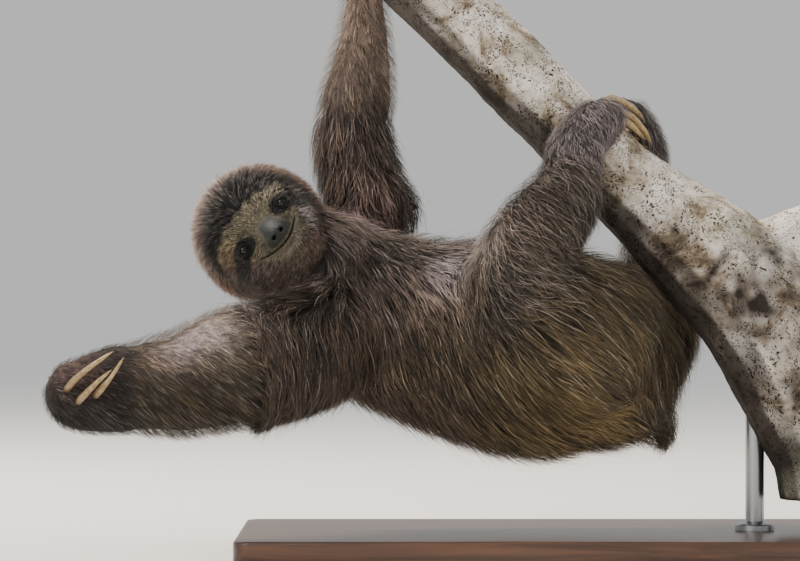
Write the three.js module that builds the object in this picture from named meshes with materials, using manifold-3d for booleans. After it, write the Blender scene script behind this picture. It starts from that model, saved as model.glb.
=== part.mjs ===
// A three-toed sloth, life size, hanging belly-up by its feet and one hand from a cut length
// of forked branch, which a flat base and two short rods hold.
//
// Millimetres, +Z up. The origin is the centre of the base's underside.
// The sloth's head is at -X and its rump at +X, and its right side faces -Y.
// Every solid of the animal reaches out to the tips of its coat.
import * as THREE from 'three';
import { mergeVertices } from 'three/addons/utils/BufferGeometryUtils.js';
import Module from 'manifold-3d';

const wasm = await Module();
wasm.setup();

// ---------------------------------------------------------------- driving dimensions

const GAP = 0.3; // between parts that touch
const DEPTH_AXIS = new THREE.Vector3(0, 1, 0); // the "deep" half size of a section lies along it

// A station is the centre of a section (x, y, z), then its half height and its half depth.
// Stations run from the root of a part to its tip.
const TRUNK = {
  breast: [-206, -2, 202, 50, 52],
  shoulders: [-166, 0, 190, 61, 66],
  chest: [-115, 0, 172, 69, 72],
  waist: [-66, 0, 161, 78, 76],
  belly: [-18, 0, 152, 83, 78],
  loin: [32, 0, 149, 77, 74],
  rump: [70, 0, 137, 63, 62],
  seat: [104, 0, 137, 43, 45],
};
const NECK = {
  nape: [-222, -28, 236, 40, 40],
  throat: [-196, -20, 222, 47, 46],
  collar: [-150, -4, 196, 54, 56],
};
const RIGHT_ARM = {
  root: [-140, -32, 176, 44, 44],
  shoulder: [-176, -56, 158, 47, 46],
  upper: [-206, -78, 147, 46, 45],
  elbow: [-238, -94, 140, 48, 45],
  forearm: [-266, -102, 130, 43, 41],
  forearm_mid: [-292, -108, 127, 39, 37],
  wrist: [-322, -113, 124, 34, 31],
  palm: [-348, -118, 120, 30, 26],
  knuckles: [-371, -122, 119, 33, 25],
};
const LEFT_ARM = {
  root: [-118, 40, 222, 46, 42],
  shoulder: [-134, 52, 250, 40, 38],
  upper: [-147, 60, 288, 35, 33],
  elbow: [-151, 64, 318, 36, 33],
  forearm: [-147, 66, 349, 32, 29],
  forearm_mid: [-143, 68, 384, 26, 24],
  wrist: [-142, 71, 424, 20, 18],
  palm: [-140, 77, 458, 18, 15],
  knuckles: [-126, 61, 492, 20, 13],
};
const RIGHT_LEG = {
  root: [62, -34, 128, 58, 40],
  hip: [40, -48, 146, 62, 46],
  thigh: [0, -64, 170, 58, 48],
  knee: [-31, -74, 206, 40, 42],
  shank: [-11, -66, 244, 36, 35],
  shank_mid: [7, -56, 270, 31, 30],
  ankle: [14, -47, 298, 23, 23],
  instep: [26, -34, 318, 19, 19],
  toes: [47, -10, 333, 18, 17],
};
const LEFT_LEG = {
  root: [60, 30, 140, 52, 40],
  hip: [68, 62, 162, 50, 44],
  thigh: [78, 98, 184, 42, 42],
  knee: [87, 112, 210, 36, 36],
  shank: [82, 97, 238, 30, 30],
  shank_mid: [78, 82, 258, 24, 24],
  ankle: [79, 63, 276, 19, 20],
  instep: [73, 45, 303, 17, 17],
  toes: [51, 24, 347, 17, 15],
};
const TAIL = {
  root: [68, 2, 108, 17, 15],
  middle: [79, 2, 96, 13, 12],
  tip: [87, 2, 86, 10, 9],
};

// How far along a part its lengths meet, as a share of its own length.
const ARM_CUTS = [0.43, 0.77];
const LEG_CUTS = [0.39, 0.77];
const TRUNK_CUT = 0.45;
const NECK_CUT = 0.62;
const PLATE_MARGIN = 1.4; // a parting cut's radius, as a share of the part's half size there

// The facets of each sweep: sides round it and sections along it. cap is the share of the
// length over which each end is rounded off.
const LIMB = { sides: 14, sections: 16, cap: 0.12 };
const TRUNK_SWEEP = { sides: 18, sections: 16, cap: 0.16 };
const NECK_SWEEP = { sides: 14, sections: 10, cap: 0.2 };
const TAIL_SWEEP = { sides: 12, sections: 8, cap: 0.3 };
const ROUND_SIDES = 24; // of the head and the parting cuts

const HEAD = {
  centre: [-218, -30, 238],
  across: 53, // half width, cheek to cheek
  tall: 54, // half height, chin to crown
  deep: 46, // half length, nose to nape, without the muzzle
  crown: [-0.79, 0, 0.61], // the way the crown points
  yaw: 8, // degrees that the face turns from the viewer towards its own left
};
const FACE = {
  flatness: 0.86, // the face lies this share of the way out that a round head would
  flat_reach: 0.8, // how far out from its middle the face is flatter, as a share of its width
  muzzle_out: 13,
  muzzle_drop: 11, // from the head's centre down to the muzzle's
  muzzle_wide: 19,
  muzzle_tall: 17,
  socket: 2.6, // how deep each eye's socket is
  socket_wide: 11,
  socket_tall: 9,
};
const EYE = { radius: 6.2, apart: 45, up: 1.2, forward: 33 };
const NOSE = { wide: 9.5, tall: 7, thick: 5, drop: 8, forward: 50 };

// A branch station is a centre (x, y, z) and one radius, used for both half sizes.
const BRANCH = {
  sawn_end: [-170, 31, 500, 30],
  high: [-85, 22, 415, 30],
  middle: [5, 6, 324, 30],
  low: [62, 0, 266, 32],
  above_fork: [110, -4, 227, 44],
  fork: [154, -10, 181, 49],
  stem: [181, -16, 122, 43],
  stem_low: [202, -20, 76, 41],
  foot: [210, -20, 30, 41],
};
const STUB = {
  root: [130, 0, 200, 40],
  neck: [165, 8, 224, 27],
  middle: [190, 13, 237, 23],
  sawn_end: [218, 18, 249, 22],
};
const STEM_FOOT_Z = 40; // the stem is sawn level here
const PERCH_SIDES = 16;
const STEM_SECTIONS = 14;
const STUB_SECTIONS = 4;

// A grip is where a hand or foot holds the branch: the point on the branch's axis below it.
// Angles go round the axis, from its upper side (0) towards +Y, away from the viewer.
// A claw runs between two angles, at a radius from the axis, from one place along it to another.
const BRANCH_WAY = new THREE.Vector3(1, 0, -1).normalize();
const BRANCH_UPPER_SIDE = new THREE.Vector3(1, 0, 1).normalize();
const HAND_GRIP = [-141, 28, 471];
const FOOT_GRIP = [40.6, 2, 287.8];
const LEFT_FINGER_CLAWS = [-13, -1, 11].map((place) => (
  { grip: HAND_GRIP, angles: [52, -72], radii: [38, 34], places: [place, place + 6], half: [3.6, 2.8] }));
const LEFT_TOE_CLAWS = [-15, -6, 3].map((place) => (
  { grip: FOOT_GRIP, angles: [48, 22], radii: [40, 34.5], places: [place, place + 9], half: [2.9, 2.6] }));
// The right foot's claws arch over the branch and part of the way down along it, and the free
// hand's are folded back along its palm: each is given by the points it follows.
const RIGHT_TOE_CLAWS = [
  { path: [[33, -17, 331], [39, -6, 339], [48, 1, 339], [58, 5, 334], [66, 9, 327], [71, 13, 319]],
    half: [3, 2.6] },
  { path: [[43, -14, 330], [57, -8, 326], [64, -2, 320], [71, 6, 312], [75, 12, 301]], half: [3, 2.6] },
  { path: [[43, -20, 324], [55, -14, 321], [62, -8, 315], [70, -1, 307]], half: [2.8, 2.5] },
];
const RIGHT_FINGER_CLAWS = [
  { path: [[-358, -142, 119], [-347, -150, 132], [-332, -151, 144], [-317, -147, 154]], half: [2.9, 2.5] },
  { path: [[-349, -147, 112], [-339, -154, 122], [-329, -155, 132], [-318, -152, 141]], half: [2.9, 2.5] },
  { path: [[-337, -147, 116], [-328, -153, 125], [-320, -154, 135], [-310, -150, 151]], half: [2.8, 2.5] },
];
const CLAW = { sides: 7, sections: 6, cap: 0.13 };
const CLAW_STEPS = 4; // the stretches of a gripping claw's path
const CLAW_TIP = 0.24; // the tip's thickness, as a share of the root's
const CLAW_TAPER = 1.4; // above 1, a claw stays thick for longer and then narrows

const BASE = { long: 470, wide: 280, thick: 16, corner: 12, edge: 2 };
const ROD_RADIUS = 7;
const ROD_SIDES = 16;
const STEM_ROD_AT = [205, -20];
const FORK_ROD = { at: [150, -12], top: 130 }; // its top is cut to the stem's underside

const COAT = 0x6f6252;
const DARK_COAT = 0x3c3431;
const FACE_COAT = 0x9a8b66;
const HORN = 0xb59a63;
const BARK = 0xb0a594;
const EYE_BROWN = 0x17100c;
const NOSE_GREY = 0x57524d;
const WOOD = 0x7a5a3c;
const STEEL = 0x8e9194;

// ---------------------------------------------------------------- solids

/** The manifold solid of a closed geometry. */
function solidOf(geometry) {
  const bare = geometry.clone();
  bare.deleteAttribute('normal');
  bare.deleteAttribute('uv');
  const merged = mergeVertices(bare, 1e-4);
  return new wasm.Manifold(new wasm.Mesh({
    numProp: 3,
    vertProperties: new Float32Array(merged.attributes.position.array),
    triVerts: new Uint32Array(merged.index.array),
  }));
}

/** The geometry of a manifold solid. */
function geometryOf(solid) {
  const mesh = solid.getMesh();
  const geometry = new THREE.BufferGeometry();
  geometry.setAttribute('position', new THREE.BufferAttribute(new Float32Array(mesh.vertProperties), 3));
  geometry.setIndex(new THREE.BufferAttribute(new Uint32Array(mesh.triVerts), 1));
  geometry.computeVertexNormals();
  return geometry;
}

/** The largest separate bodies of a solid, without the slivers that a cut leaves. */
function largest(solid, count) {
  const bodies = solid.decompose();
  bodies.sort((a, b) => b.volume() - a.volume());
  return bodies.slice(0, count);
}

/** What is left of a solid when its neighbours are cut away, slivers and all. */
function without(solid, neighbours) {
  return neighbours.reduce((rest, neighbour) => rest.subtract(neighbour), solid);
}

/** A solid without its neighbours, as one body. */
function cutBy(solid, neighbours) {
  return largest(without(solid, neighbours), 1)[0];
}

/** A route through a list of stations: its curve, and the half sizes anywhere along it. */
function routeOf(stations) {
  const rows = Object.values(stations);
  const points = rows.map((row) => new THREE.Vector3(row[0], row[1], row[2]));
  const curve = new THREE.CatmullRomCurve3(points, false, 'centripetal');
  const sizes = new THREE.CatmullRomCurve3(
    rows.map((row) => new THREE.Vector3(row[3], row[4] ?? row[3], 0)), false, 'centripetal');
  const sizeAt = (share) => sizes.getPoint(curve.getUtoTmapping(share));
  return { curve, sizeAt };
}

/** The two directions across a curve: up across it, and as near to the depth axis as it can be. */
function acrossCurve(curve, share) {
  const along = curve.getTangentAt(share);
  const deep = DEPTH_AXIS.clone().addScaledVector(along, -DEPTH_AXIS.dot(along)).normalize();
  const high = new THREE.Vector3().crossVectors(deep, along);
  return { high, deep, along };
}

/** Moves a unit shape's vertices to lie round a route. placeOf gives share, cosine and sine. */
function drawAlong(geometry, route, placeOf, grow) {
  const position = geometry.attributes.position;
  const vertex = new THREE.Vector3();
  for (let i = 0; i < position.count; i += 1) {
    vertex.fromBufferAttribute(position, i);
    const { share, high, deep } = placeOf(vertex);
    const across = acrossCurve(route.curve, share);
    const size = route.sizeAt(share);
    const centre = route.curve.getPointAt(share);
    centre.addScaledVector(across.high, high * (size.x + grow));
    centre.addScaledVector(across.deep, deep * (size.y + grow));
    position.setXYZ(i, centre.x, centre.y, centre.z);
  }
  return solidOf(geometry);
}

/** A round-ended solid along a route of stations. cap is the share of it that each end rounds. */
function rounded(stations, { sides, sections, cap }, grow = 0) {
  const route = routeOf(stations);
  const geometry = new THREE.SphereGeometry(1, sides, sections);
  const placeOf = (vertex) => {
    const share = Math.acos(THREE.MathUtils.clamp(vertex.y, -1, 1)) / Math.PI;
    const toEnd = Math.min(1, Math.min(share, 1 - share) / cap);
    const fullness = Math.sqrt(Math.max(0, 1 - (1 - toEnd) ** 2));
    const outwards = Math.hypot(vertex.x, vertex.z) || 1;
    return { share, high: (fullness * vertex.x) / outwards, deep: (fullness * vertex.z) / outwards };
  };
  return drawAlong(geometry, route, placeOf, grow);
}

/** A flat-ended solid along a route of stations, as a sawn length of branch. */
function sawn(stations, sections, grow) {
  const route = routeOf(stations);
  const geometry = new THREE.CylinderGeometry(1, 1, 1, PERCH_SIDES, sections);
  const placeOf = (vertex) => ({ share: 0.5 - vertex.y, high: vertex.x, deep: vertex.z });
  return drawAlong(geometry, route, placeOf, grow);
}

/** The points that a gripping claw follows round the branch. */
function gripPath({ grip, angles, radii, places }) {
  return Array.from({ length: CLAW_STEPS + 1 }, (_, i) => {
    const share = i / CLAW_STEPS;
    const angle = THREE.MathUtils.degToRad(THREE.MathUtils.lerp(...angles, share));
    const radius = THREE.MathUtils.lerp(...radii, share);
    const point = new THREE.Vector3(...grip);
    point.addScaledVector(BRANCH_WAY, THREE.MathUtils.lerp(...places, share));
    point.addScaledVector(BRANCH_UPPER_SIDE, radius * Math.cos(angle));
    point.addScaledVector(DEPTH_AXIS, radius * Math.sin(angle));
    return point.toArray();
  });
}

/** A claw: round at the root, tapering along its curve to a blunt tip. */
function claw(shape, grow = 0) {
  const path = shape.path ?? gripPath(shape);
  const stations = path.map((point, i) => {
    const left = 1 - (1 - CLAW_TIP) * (i / (path.length - 1)) ** CLAW_TAPER;
    return [...point, shape.half[0] * left, shape.half[1] * left];
  });
  return rounded(stations, CLAW, grow);
}

/** A thin round plate across a route, a little wider than it, to part it there. */
function partingPlate(stations, share) {
  const route = routeOf(stations);
  const size = route.sizeAt(share);
  const radius = PLATE_MARGIN * Math.max(size.x, size.y);
  const along = route.curve.getTangentAt(share);
  const plate = new THREE.CylinderGeometry(radius, radius, GAP, ROUND_SIDES);
  plate.applyQuaternion(new THREE.Quaternion().setFromUnitVectors(new THREE.Vector3(0, 1, 0), along));
  const centre = route.curve.getPointAt(share);
  plate.translate(centre.x, centre.y, centre.z);
  return solidOf(plate);
}

/** A limb parted into its lengths, from the root out. */
function partedLimb(stations, shares) {
  const whole = rounded(stations, LIMB);
  const plates = shares.map((share) => partingPlate(stations, share));
  const lengths = largest(without(whole, plates), shares.length + 1);
  const route = routeOf(stations);
  const shareOf = (solid) => nearestShare(route.curve, middleOf(solid));
  return lengths.sort((a, b) => shareOf(a) - shareOf(b));
}

function middleOf(solid) {
  const box = solid.boundingBox();
  return new THREE.Vector3(...box.min).add(new THREE.Vector3(...box.max)).multiplyScalar(0.5);
}

/** The share of a curve that lies nearest to a point, to a sixtieth. */
function nearestShare(curve, point) {
  const steps = 60;
  const points = curve.getSpacedPoints(steps);
  const distances = points.map((place) => place.distanceTo(point));
  return distances.indexOf(Math.min(...distances)) / steps;
}

// ---------------------------------------------------------------- head

/** The head's own axes: left, up to the crown, and forward out of the face. */
function headAxes() {
  const up = new THREE.Vector3(...HEAD.crown).normalize();
  const forward = new THREE.Vector3(0, -1, 0).applyAxisAngle(up, THREE.MathUtils.degToRad(HEAD.yaw));
  const left = new THREE.Vector3().crossVectors(up, forward);
  return new THREE.Matrix4().makeBasis(left, up, forward).setPosition(...HEAD.centre);
}

function bump(value, centre, width) {
  return Math.exp(-(((value - centre) / width) ** 2));
}

/** The head: a rounded form with a flatter face and a short blunt muzzle. */
function headSolid(grow) {
  const geometry = new THREE.SphereGeometry(1, ROUND_SIDES, 16);
  geometry.rotateX(Math.PI / 2);
  const position = geometry.attributes.position;
  for (let i = 0; i < position.count; i += 1) {
    const x = position.getX(i) * (HEAD.across + grow);
    const y = position.getY(i) * (HEAD.tall + grow);
    let z = position.getZ(i) * (HEAD.deep + grow);
    if (z > 0) {
      const inFace = bump(Math.hypot(x, y), 0, HEAD.across * FACE.flat_reach);
      z *= 1 - (1 - FACE.flatness) * inFace;
      z += FACE.muzzle_out * bump(x, 0, FACE.muzzle_wide) * bump(y, -FACE.muzzle_drop, FACE.muzzle_tall);
      const inSocket = bump(Math.abs(x), EYE.apart / 2, FACE.socket_wide) * bump(y, EYE.up, FACE.socket_tall);
      z -= FACE.socket * inSocket;
    }
    position.setXYZ(i, x, y, z);
  }
  geometry.applyMatrix4(headAxes());
  return solidOf(geometry);
}

/** A ball in the head's own axes, with a half size for each of them. */
function ballInHead(half, place, grow = 0) {
  const geometry = new THREE.SphereGeometry(1, 10, 8);
  geometry.scale(half[0] + grow, half[1] + grow, half[2] + grow);
  geometry.translate(...place);
  geometry.applyMatrix4(headAxes());
  return solidOf(geometry);
}

function eyeSolid(side, grow = 0) {
  const half = [EYE.radius, EYE.radius, EYE.radius];
  return ballInHead(half, [(side * EYE.apart) / 2, EYE.up, EYE.forward], grow);
}

function noseSolid(grow = 0) {
  return ballInHead([NOSE.wide, NOSE.tall, NOSE.thick], [0, -NOSE.drop, NOSE.forward], grow);
}

// ---------------------------------------------------------------- stand

/** The base: a flat board with rounded corners and eased edges, its underside at z = 0. */
function baseSolid() {
  const halfLong = BASE.long / 2 - BASE.edge;
  const halfWide = BASE.wide / 2 - BASE.edge;
  const outline = new THREE.Shape();
  outline.moveTo(-halfLong + BASE.corner, -halfWide);
  outline.lineTo(halfLong - BASE.corner, -halfWide);
  outline.absarc(halfLong - BASE.corner, -halfWide + BASE.corner, BASE.corner, -Math.PI / 2, 0);
  outline.absarc(halfLong - BASE.corner, halfWide - BASE.corner, BASE.corner, 0, Math.PI / 2);
  outline.absarc(-halfLong + BASE.corner, halfWide - BASE.corner, BASE.corner, Math.PI / 2, Math.PI);
  outline.absarc(-halfLong + BASE.corner, -halfWide + BASE.corner, BASE.corner, Math.PI, Math.PI * 1.5);
  const geometry = new THREE.ExtrudeGeometry(outline, {
    depth: BASE.thick - 2 * BASE.edge,
    bevelThickness: BASE.edge,
    bevelSize: BASE.edge,
    bevelSegments: 1,
    curveSegments: 4,
  });
  geometry.translate(0, 0, BASE.edge);
  return solidOf(geometry);
}

/** An upright rod from the base to a height. */
function rodSolid([x, y], top) {
  const bottom = BASE.thick + GAP;
  const geometry = new THREE.CylinderGeometry(ROD_RADIUS, ROD_RADIUS, top - bottom, ROD_SIDES);
  geometry.rotateX(Math.PI / 2);
  geometry.translate(x, y, (top + bottom) / 2);
  return solidOf(geometry);
}

/** The block that the stem's foot is sawn off by. */
function belowStemFoot() {
  const size = 3.5 * STEM_FOOT_Z;
  const geometry = new THREE.BoxGeometry(size, size, size);
  geometry.translate(STEM_ROD_AT[0], STEM_ROD_AT[1], STEM_FOOT_Z - size / 2);
  return solidOf(geometry);
}

// ---------------------------------------------------------------- the model

const group = new THREE.Group();
group.name = 'three_toed_sloth';

function addPart(name, solid, color, roughness = 0.9, metalness = 0) {
  const material = new THREE.MeshStandardMaterial({ color, roughness, metalness });
  const mesh = new THREE.Mesh(geometryOf(solid), material);
  mesh.name = name;
  group.add(mesh);
}

/** The perch: a limb and its main stem as one sweep, and the sawn stub of a second limb. */
function perchSolid(grow) {
  const stem = sawn(BRANCH, STEM_SECTIONS, grow);
  const stub = sawn(STUB, STUB_SECTIONS, grow);
  return stem.add(stub).subtract(belowStemFoot());
}

const perchRoom = perchSolid(GAP);
addPart('branch', perchSolid(0), BARK);
addPart('stand_base', baseSolid(), WOOD, 0.45);
addPart('stand_rod_stem', rodSolid(STEM_ROD_AT, STEM_FOOT_Z - GAP), STEEL, 0.35, 0.9);
addPart('stand_rod_fork', cutBy(rodSolid(FORK_ROD.at, FORK_ROD.top), [perchRoom]), STEEL, 0.35, 0.9);

const clawRows = {
  right_finger_claw: RIGHT_FINGER_CLAWS,
  left_finger_claw: LEFT_FINGER_CLAWS,
  right_toe_claw: RIGHT_TOE_CLAWS,
  left_toe_claw: LEFT_TOE_CLAWS,
};
const clawRoom = [];
for (const [name, claws] of Object.entries(clawRows)) {
  claws.forEach((shape, i) => {
    addPart(`${name}_${i + 1}`, cutBy(claw(shape), [perchRoom]), HORN, 0.4);
    clawRoom.push(claw(shape, GAP));
  });
}

addPart('right_eye', eyeSolid(-1), EYE_BROWN, 0.1);
addPart('left_eye', eyeSolid(1), EYE_BROWN, 0.1);
addPart('nose', noseSolid(), NOSE_GREY, 0.5);
const faceRoom = [eyeSolid(-1, GAP), eyeSolid(1, GAP), noseSolid(GAP)];
addPart('head', cutBy(headSolid(0), faceRoom), FACE_COAT);

/** The trunk and neck as one solid, without the head's place. */
function torsoSolid(grow) {
  const trunk = rounded(TRUNK, TRUNK_SWEEP, grow);
  const neck = rounded(NECK, NECK_SWEEP, grow);
  return trunk.add(neck);
}

const torsoPlates = [partingPlate(NECK, NECK_CUT), partingPlate(TRUNK, TRUNK_CUT)];
const torso = without(torsoSolid(0), [headSolid(GAP), perchRoom, ...torsoPlates]);
const torsoLengths = largest(torso, 3).sort((a, b) => middleOf(a).x - middleOf(b).x);
['neck', 'trunk_front', 'trunk_rear'].forEach((name, i) => addPart(name, torsoLengths[i], COAT));

const torsoRoom = torsoSolid(GAP);
addPart('tail', cutBy(rounded(TAIL, TAIL_SWEEP), [torsoRoom]), COAT);

const limbs = [
  { stations: RIGHT_ARM, cuts: ARM_CUTS, names: ['right_upper_arm', 'right_forearm', 'right_hand'] },
  { stations: LEFT_ARM, cuts: ARM_CUTS, names: ['left_upper_arm', 'left_forearm', 'left_hand'] },
  { stations: RIGHT_LEG, cuts: LEG_CUTS, names: ['right_thigh', 'right_shank', 'right_foot'] },
  { stations: LEFT_LEG, cuts: LEG_CUTS, names: ['left_thigh', 'left_shank', 'left_foot'] },
];
const limbNeighbours = [torsoRoom, headSolid(GAP), perchRoom, ...clawRoom];
for (const { stations, cuts, names } of limbs) {
  const lengths = partedLimb(stations, cuts);
  names.forEach((name, i) => {
    const isTip = i === names.length - 1;
    addPart(name, cutBy(lengths[i], limbNeighbours), isTip ? DARK_COAT : COAT);
  });
}

export default group;
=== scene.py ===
# %% [markdown]
# # A three-toed sloth under its branch
#
# This lesson dresses a measured model of a three-toed sloth. The solids that carry it were
# made elsewhere, at their real size, and arrive here as a fixed frame. Blender's share is
# what the eye meets: one skin, a coat of many thousand locks, eyes, claws, bark and a stand.
#
# Everything is in metres, with +Z up. The head is towards -X, the rump towards +X, and the
# sloth's right side faces -Y. Sizes are written in millimetres and multiplied by `MM`.

# %% Open the frame
import math

import bmesh
import bpy
import numpy as np
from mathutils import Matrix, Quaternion, Vector, kdtree, noise
from mathutils.bvhtree import BVHTree


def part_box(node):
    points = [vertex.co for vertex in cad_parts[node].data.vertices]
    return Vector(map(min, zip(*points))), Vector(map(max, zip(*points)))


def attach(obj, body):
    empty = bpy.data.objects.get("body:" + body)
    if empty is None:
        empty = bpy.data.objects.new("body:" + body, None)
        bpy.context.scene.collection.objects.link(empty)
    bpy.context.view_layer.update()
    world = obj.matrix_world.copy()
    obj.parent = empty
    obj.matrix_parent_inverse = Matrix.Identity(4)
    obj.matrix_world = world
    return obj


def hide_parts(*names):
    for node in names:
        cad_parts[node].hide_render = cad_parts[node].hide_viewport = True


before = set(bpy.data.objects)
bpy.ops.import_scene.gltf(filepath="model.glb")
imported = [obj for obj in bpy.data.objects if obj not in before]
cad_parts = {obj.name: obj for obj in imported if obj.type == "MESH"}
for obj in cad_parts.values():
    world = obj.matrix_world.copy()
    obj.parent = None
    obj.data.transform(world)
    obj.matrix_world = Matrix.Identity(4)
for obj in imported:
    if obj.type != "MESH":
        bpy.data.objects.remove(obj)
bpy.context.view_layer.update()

MM = 0.001
rng = np.random.default_rng(5039)
print("solids in the frame:", len(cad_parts))

# %% [markdown]
# ## Small helpers
#
# Colours are easiest to choose as the hex codes of a colour picker, but a shader adds up
# light, so it needs linear values. `linear` does that one conversion for the whole file.
#
# Shader trees could be wired with a line for each node, setting and link. One helper, `add`,
# does all three at once, so a tree reads as a short list. `finish` opens a new material, and
# `ease` is a soft step between two values.

# %% Colours and shader nodes
def linear(code):
    """An sRGB hex colour as the linear red, green, blue and alpha that a shader reads."""
    values = [int(code[start:start + 2], 16) / 255 for start in (1, 3, 5)]
    bent = [c / 12.92 if c <= 0.04045 else ((c + 0.055) / 1.055) ** 2.4 for c in values]
    return (*bent, 1.0)


def add(tree, kind, inputs=None, links=None, stops=(), **settings):
    """Add a shader node with its input values, the sockets linked into it, and its settings."""
    made = tree.nodes.new("ShaderNode" + kind)
    for name, value in settings.items():
        setattr(made, name, value)
    for name, value in (inputs or {}).items():
        made.inputs[name].default_value = value
    for name, socket in (links or {}).items():
        tree.links.new(socket, made.inputs[name])
    for number, (place, code) in enumerate(stops):
        if number > 1:
            made.color_ramp.elements.new(place)
        made.color_ramp.elements[number].position = place
        made.color_ramp.elements[number].color = linear(code)
    return made


def finish(name, **values):
    """A new material: the material, its node tree and its surface shader with these values."""
    made = bpy.data.materials.new(name)
    made.use_nodes = True
    shader = made.node_tree.nodes["Principled BSDF"]
    for socket, value in values.items():
        shader.inputs[socket.replace("_", " ")].default_value = value
    return made, made.node_tree, shader


def ease(low, high, value):
    """0 below low, 1 above high, and a smooth rise between them."""
    share = np.clip((value - low) / (high - low), 0, 1)
    return share * share * (3 - 2 * share)


print("helpers ready")

# %% [markdown]
# ## Camera, floor and light
#
# A museum model is looked at straight on, so a long lens stands three metres off, level with
# the belly. The floor could be a plain plane, but its far edge would cut the picture in two.
# A shallow bowl, spun from one profile, rises all round and has no edge in any view.
#
# The light is soft: a large panel high on the left and a little behind, which catches the
# tips of the coat, a wide one in front to open the shadows, a weak one on the right, and a
# pale sky.

# %% Camera
camera_data = bpy.data.cameras.new("camera")
camera = bpy.data.objects.new("camera", camera_data)
bpy.context.scene.collection.objects.link(camera)
camera.location = (-0.115, -3.0, 0.203)
camera.rotation_euler = (math.radians(90), 0, 0)
camera_data.lens = 180
camera_data.sensor_width = 36
camera_data.clip_end = 60
bpy.context.scene.camera = camera
print("camera at", tuple(camera.location))


# %% Floor
def made_object(name, bm, *materials):
    """An object of a bmesh, at the origin, smooth, with its materials."""
    mesh = bpy.data.meshes.new(name)
    bm.to_mesh(mesh)
    bm.free()
    mesh.shade_smooth()
    obj = bpy.data.objects.new(name, mesh)
    bpy.context.scene.collection.objects.link(obj)
    for one in materials:
        mesh.materials.append(one)
    return obj


FLOOR_RADIUS = 7.0
WALL_BEND = 3.0


def floor_bowl(paint):
    """A round floor that curves up into a wall, spun from its profile."""
    bm = bmesh.new()
    profile = [bm.verts.new((0.0, 0.0, 0.0)), bm.verts.new((FLOOR_RADIUS, 0.0, 0.0))]
    for degrees in range(10, 100, 10):
        turn = math.radians(degrees)
        x = FLOOR_RADIUS + WALL_BEND * math.sin(turn)
        profile.append(bm.verts.new((x, 0.0, WALL_BEND * (1 - math.cos(turn)))))
    edges = [bm.edges.new(pair) for pair in zip(profile, profile[1:])]
    bmesh.ops.spin(bm, geom=profile + edges, cent=(0, 0, 0), axis=(0, 0, 1),
                   angle=math.tau, steps=64, use_merge=True)
    bmesh.ops.remove_doubles(bm, verts=bm.verts, dist=MM)
    bmesh.ops.recalc_face_normals(bm, faces=bm.faces)
    if min(bm.faces, key=lambda face: face.calc_center_median().length).normal.z < 0:
        bmesh.ops.reverse_faces(bm, faces=bm.faces)
    return made_object("floor", bm, paint)


# Matt paint rolled on a smooth wall: an even pale ground without a shine.
floor_paint, _, _ = finish("matt_studio_paint", Base_Color=linear("#f0efec"), Roughness=0.9)
floor_bowl(floor_paint)
print("floor bowl radius:", FLOOR_RADIUS + WALL_BEND)


# %% Light
def soft_panel(name, place, aim, size, watts, tint):
    """A square area light at a place, facing another."""
    data = bpy.data.lights.new(name, "AREA")
    data.size = size
    data.energy = watts
    data.color = linear(tint)[:3]
    lamp = bpy.data.objects.new(name, data)
    lamp.location = place
    lamp.rotation_euler = (Vector(aim) - Vector(place)).to_track_quat("-Z", "Y").to_euler()
    bpy.context.scene.collection.objects.link(lamp)


MIDDLE = (-0.05, 0.0, 0.24)
soft_panel("key_panel", (-1.1, 0.9, 2.3), MIDDLE, 0.9, 110, "#fff0de")
soft_panel("front_panel", (-1.6, -2.4, 1.5), MIDDLE, 1.4, 40, "#fbf8f4")
soft_panel("right_panel", (2.2, -0.4, 1.3), MIDDLE, 1.2, 14, "#fff8ee")
sky = bpy.data.worlds.new("pale_sky")
sky.use_nodes = True
sky.node_tree.nodes["Background"].inputs["Color"].default_value = linear("#eef1f4")
sky.node_tree.nodes["Background"].inputs["Strength"].default_value = 0.8
bpy.context.scene.world = sky

# %% [markdown]
# ## The shape under the coat
#
# The solids of the flesh reach out to the tips of the hair, one for each length of the body.
# A real sloth has one skin, so its pieces could be joined by booleans, but every cut edge
# would stay as a crease. Remeshing is kinder: the solids are grown a little until they meet,
# and one even net of small squares is drawn over all of them together.

# %% One net over the flesh
SIDES = ("right", "left")
ARM = ("upper_arm", "forearm", "hand")
LEG = ("thigh", "shank", "foot")
FLESH = ["head", "neck", "trunk_front", "trunk_rear", "tail"]
FLESH += [f"{side}_{length}" for side in SIDES for length in ARM + LEG]
NET = 2.7 * MM
OVERLAP = 0.5 * MM


def copied(names, grow=0.0):
    """One bmesh of the named solids, each merged into a closed form and grown outwards."""
    bm = bmesh.new()
    for name in names:
        bm.from_mesh(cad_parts[name].data)
    bmesh.ops.remove_doubles(bm, verts=bm.verts, dist=0.01 * MM)
    bm.normal_update()
    for vert in bm.verts:
        vert.co += vert.normal * grow
    return bm


def modified(bm, *steps):
    """The mesh that a bmesh becomes under a few modifiers, each given as its kind and settings."""
    obj = made_object("blank", bm)
    for kind, settings in steps:
        modifier = obj.modifiers.new(kind, kind)
        for name, value in settings.items():
            setattr(modifier, name, value)
    graph = bpy.context.evaluated_depsgraph_get()
    mesh = bpy.data.meshes.new_from_object(obj.evaluated_get(graph))
    bpy.data.objects.remove(obj)
    return mesh


outline = modified(
    copied(FLESH + ["nose", "right_eye", "left_eye"], OVERLAP),
    ("REMESH", {"mode": "VOXEL", "voxel_size": NET}),
    ("SMOOTH", {"factor": 0.5, "iterations": 8}),
)
print("net over the flesh:", len(outline.polygons), "squares")

# %% [markdown]
# ## The head's own axes
#
# The face is turned and tilted, so its marks are awkward to place in the room's axes. The
# head gets its own: towards its left, its crown and its face. Every mark is then a plain
# distance from the middle of the head, alike on both sides.

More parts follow.
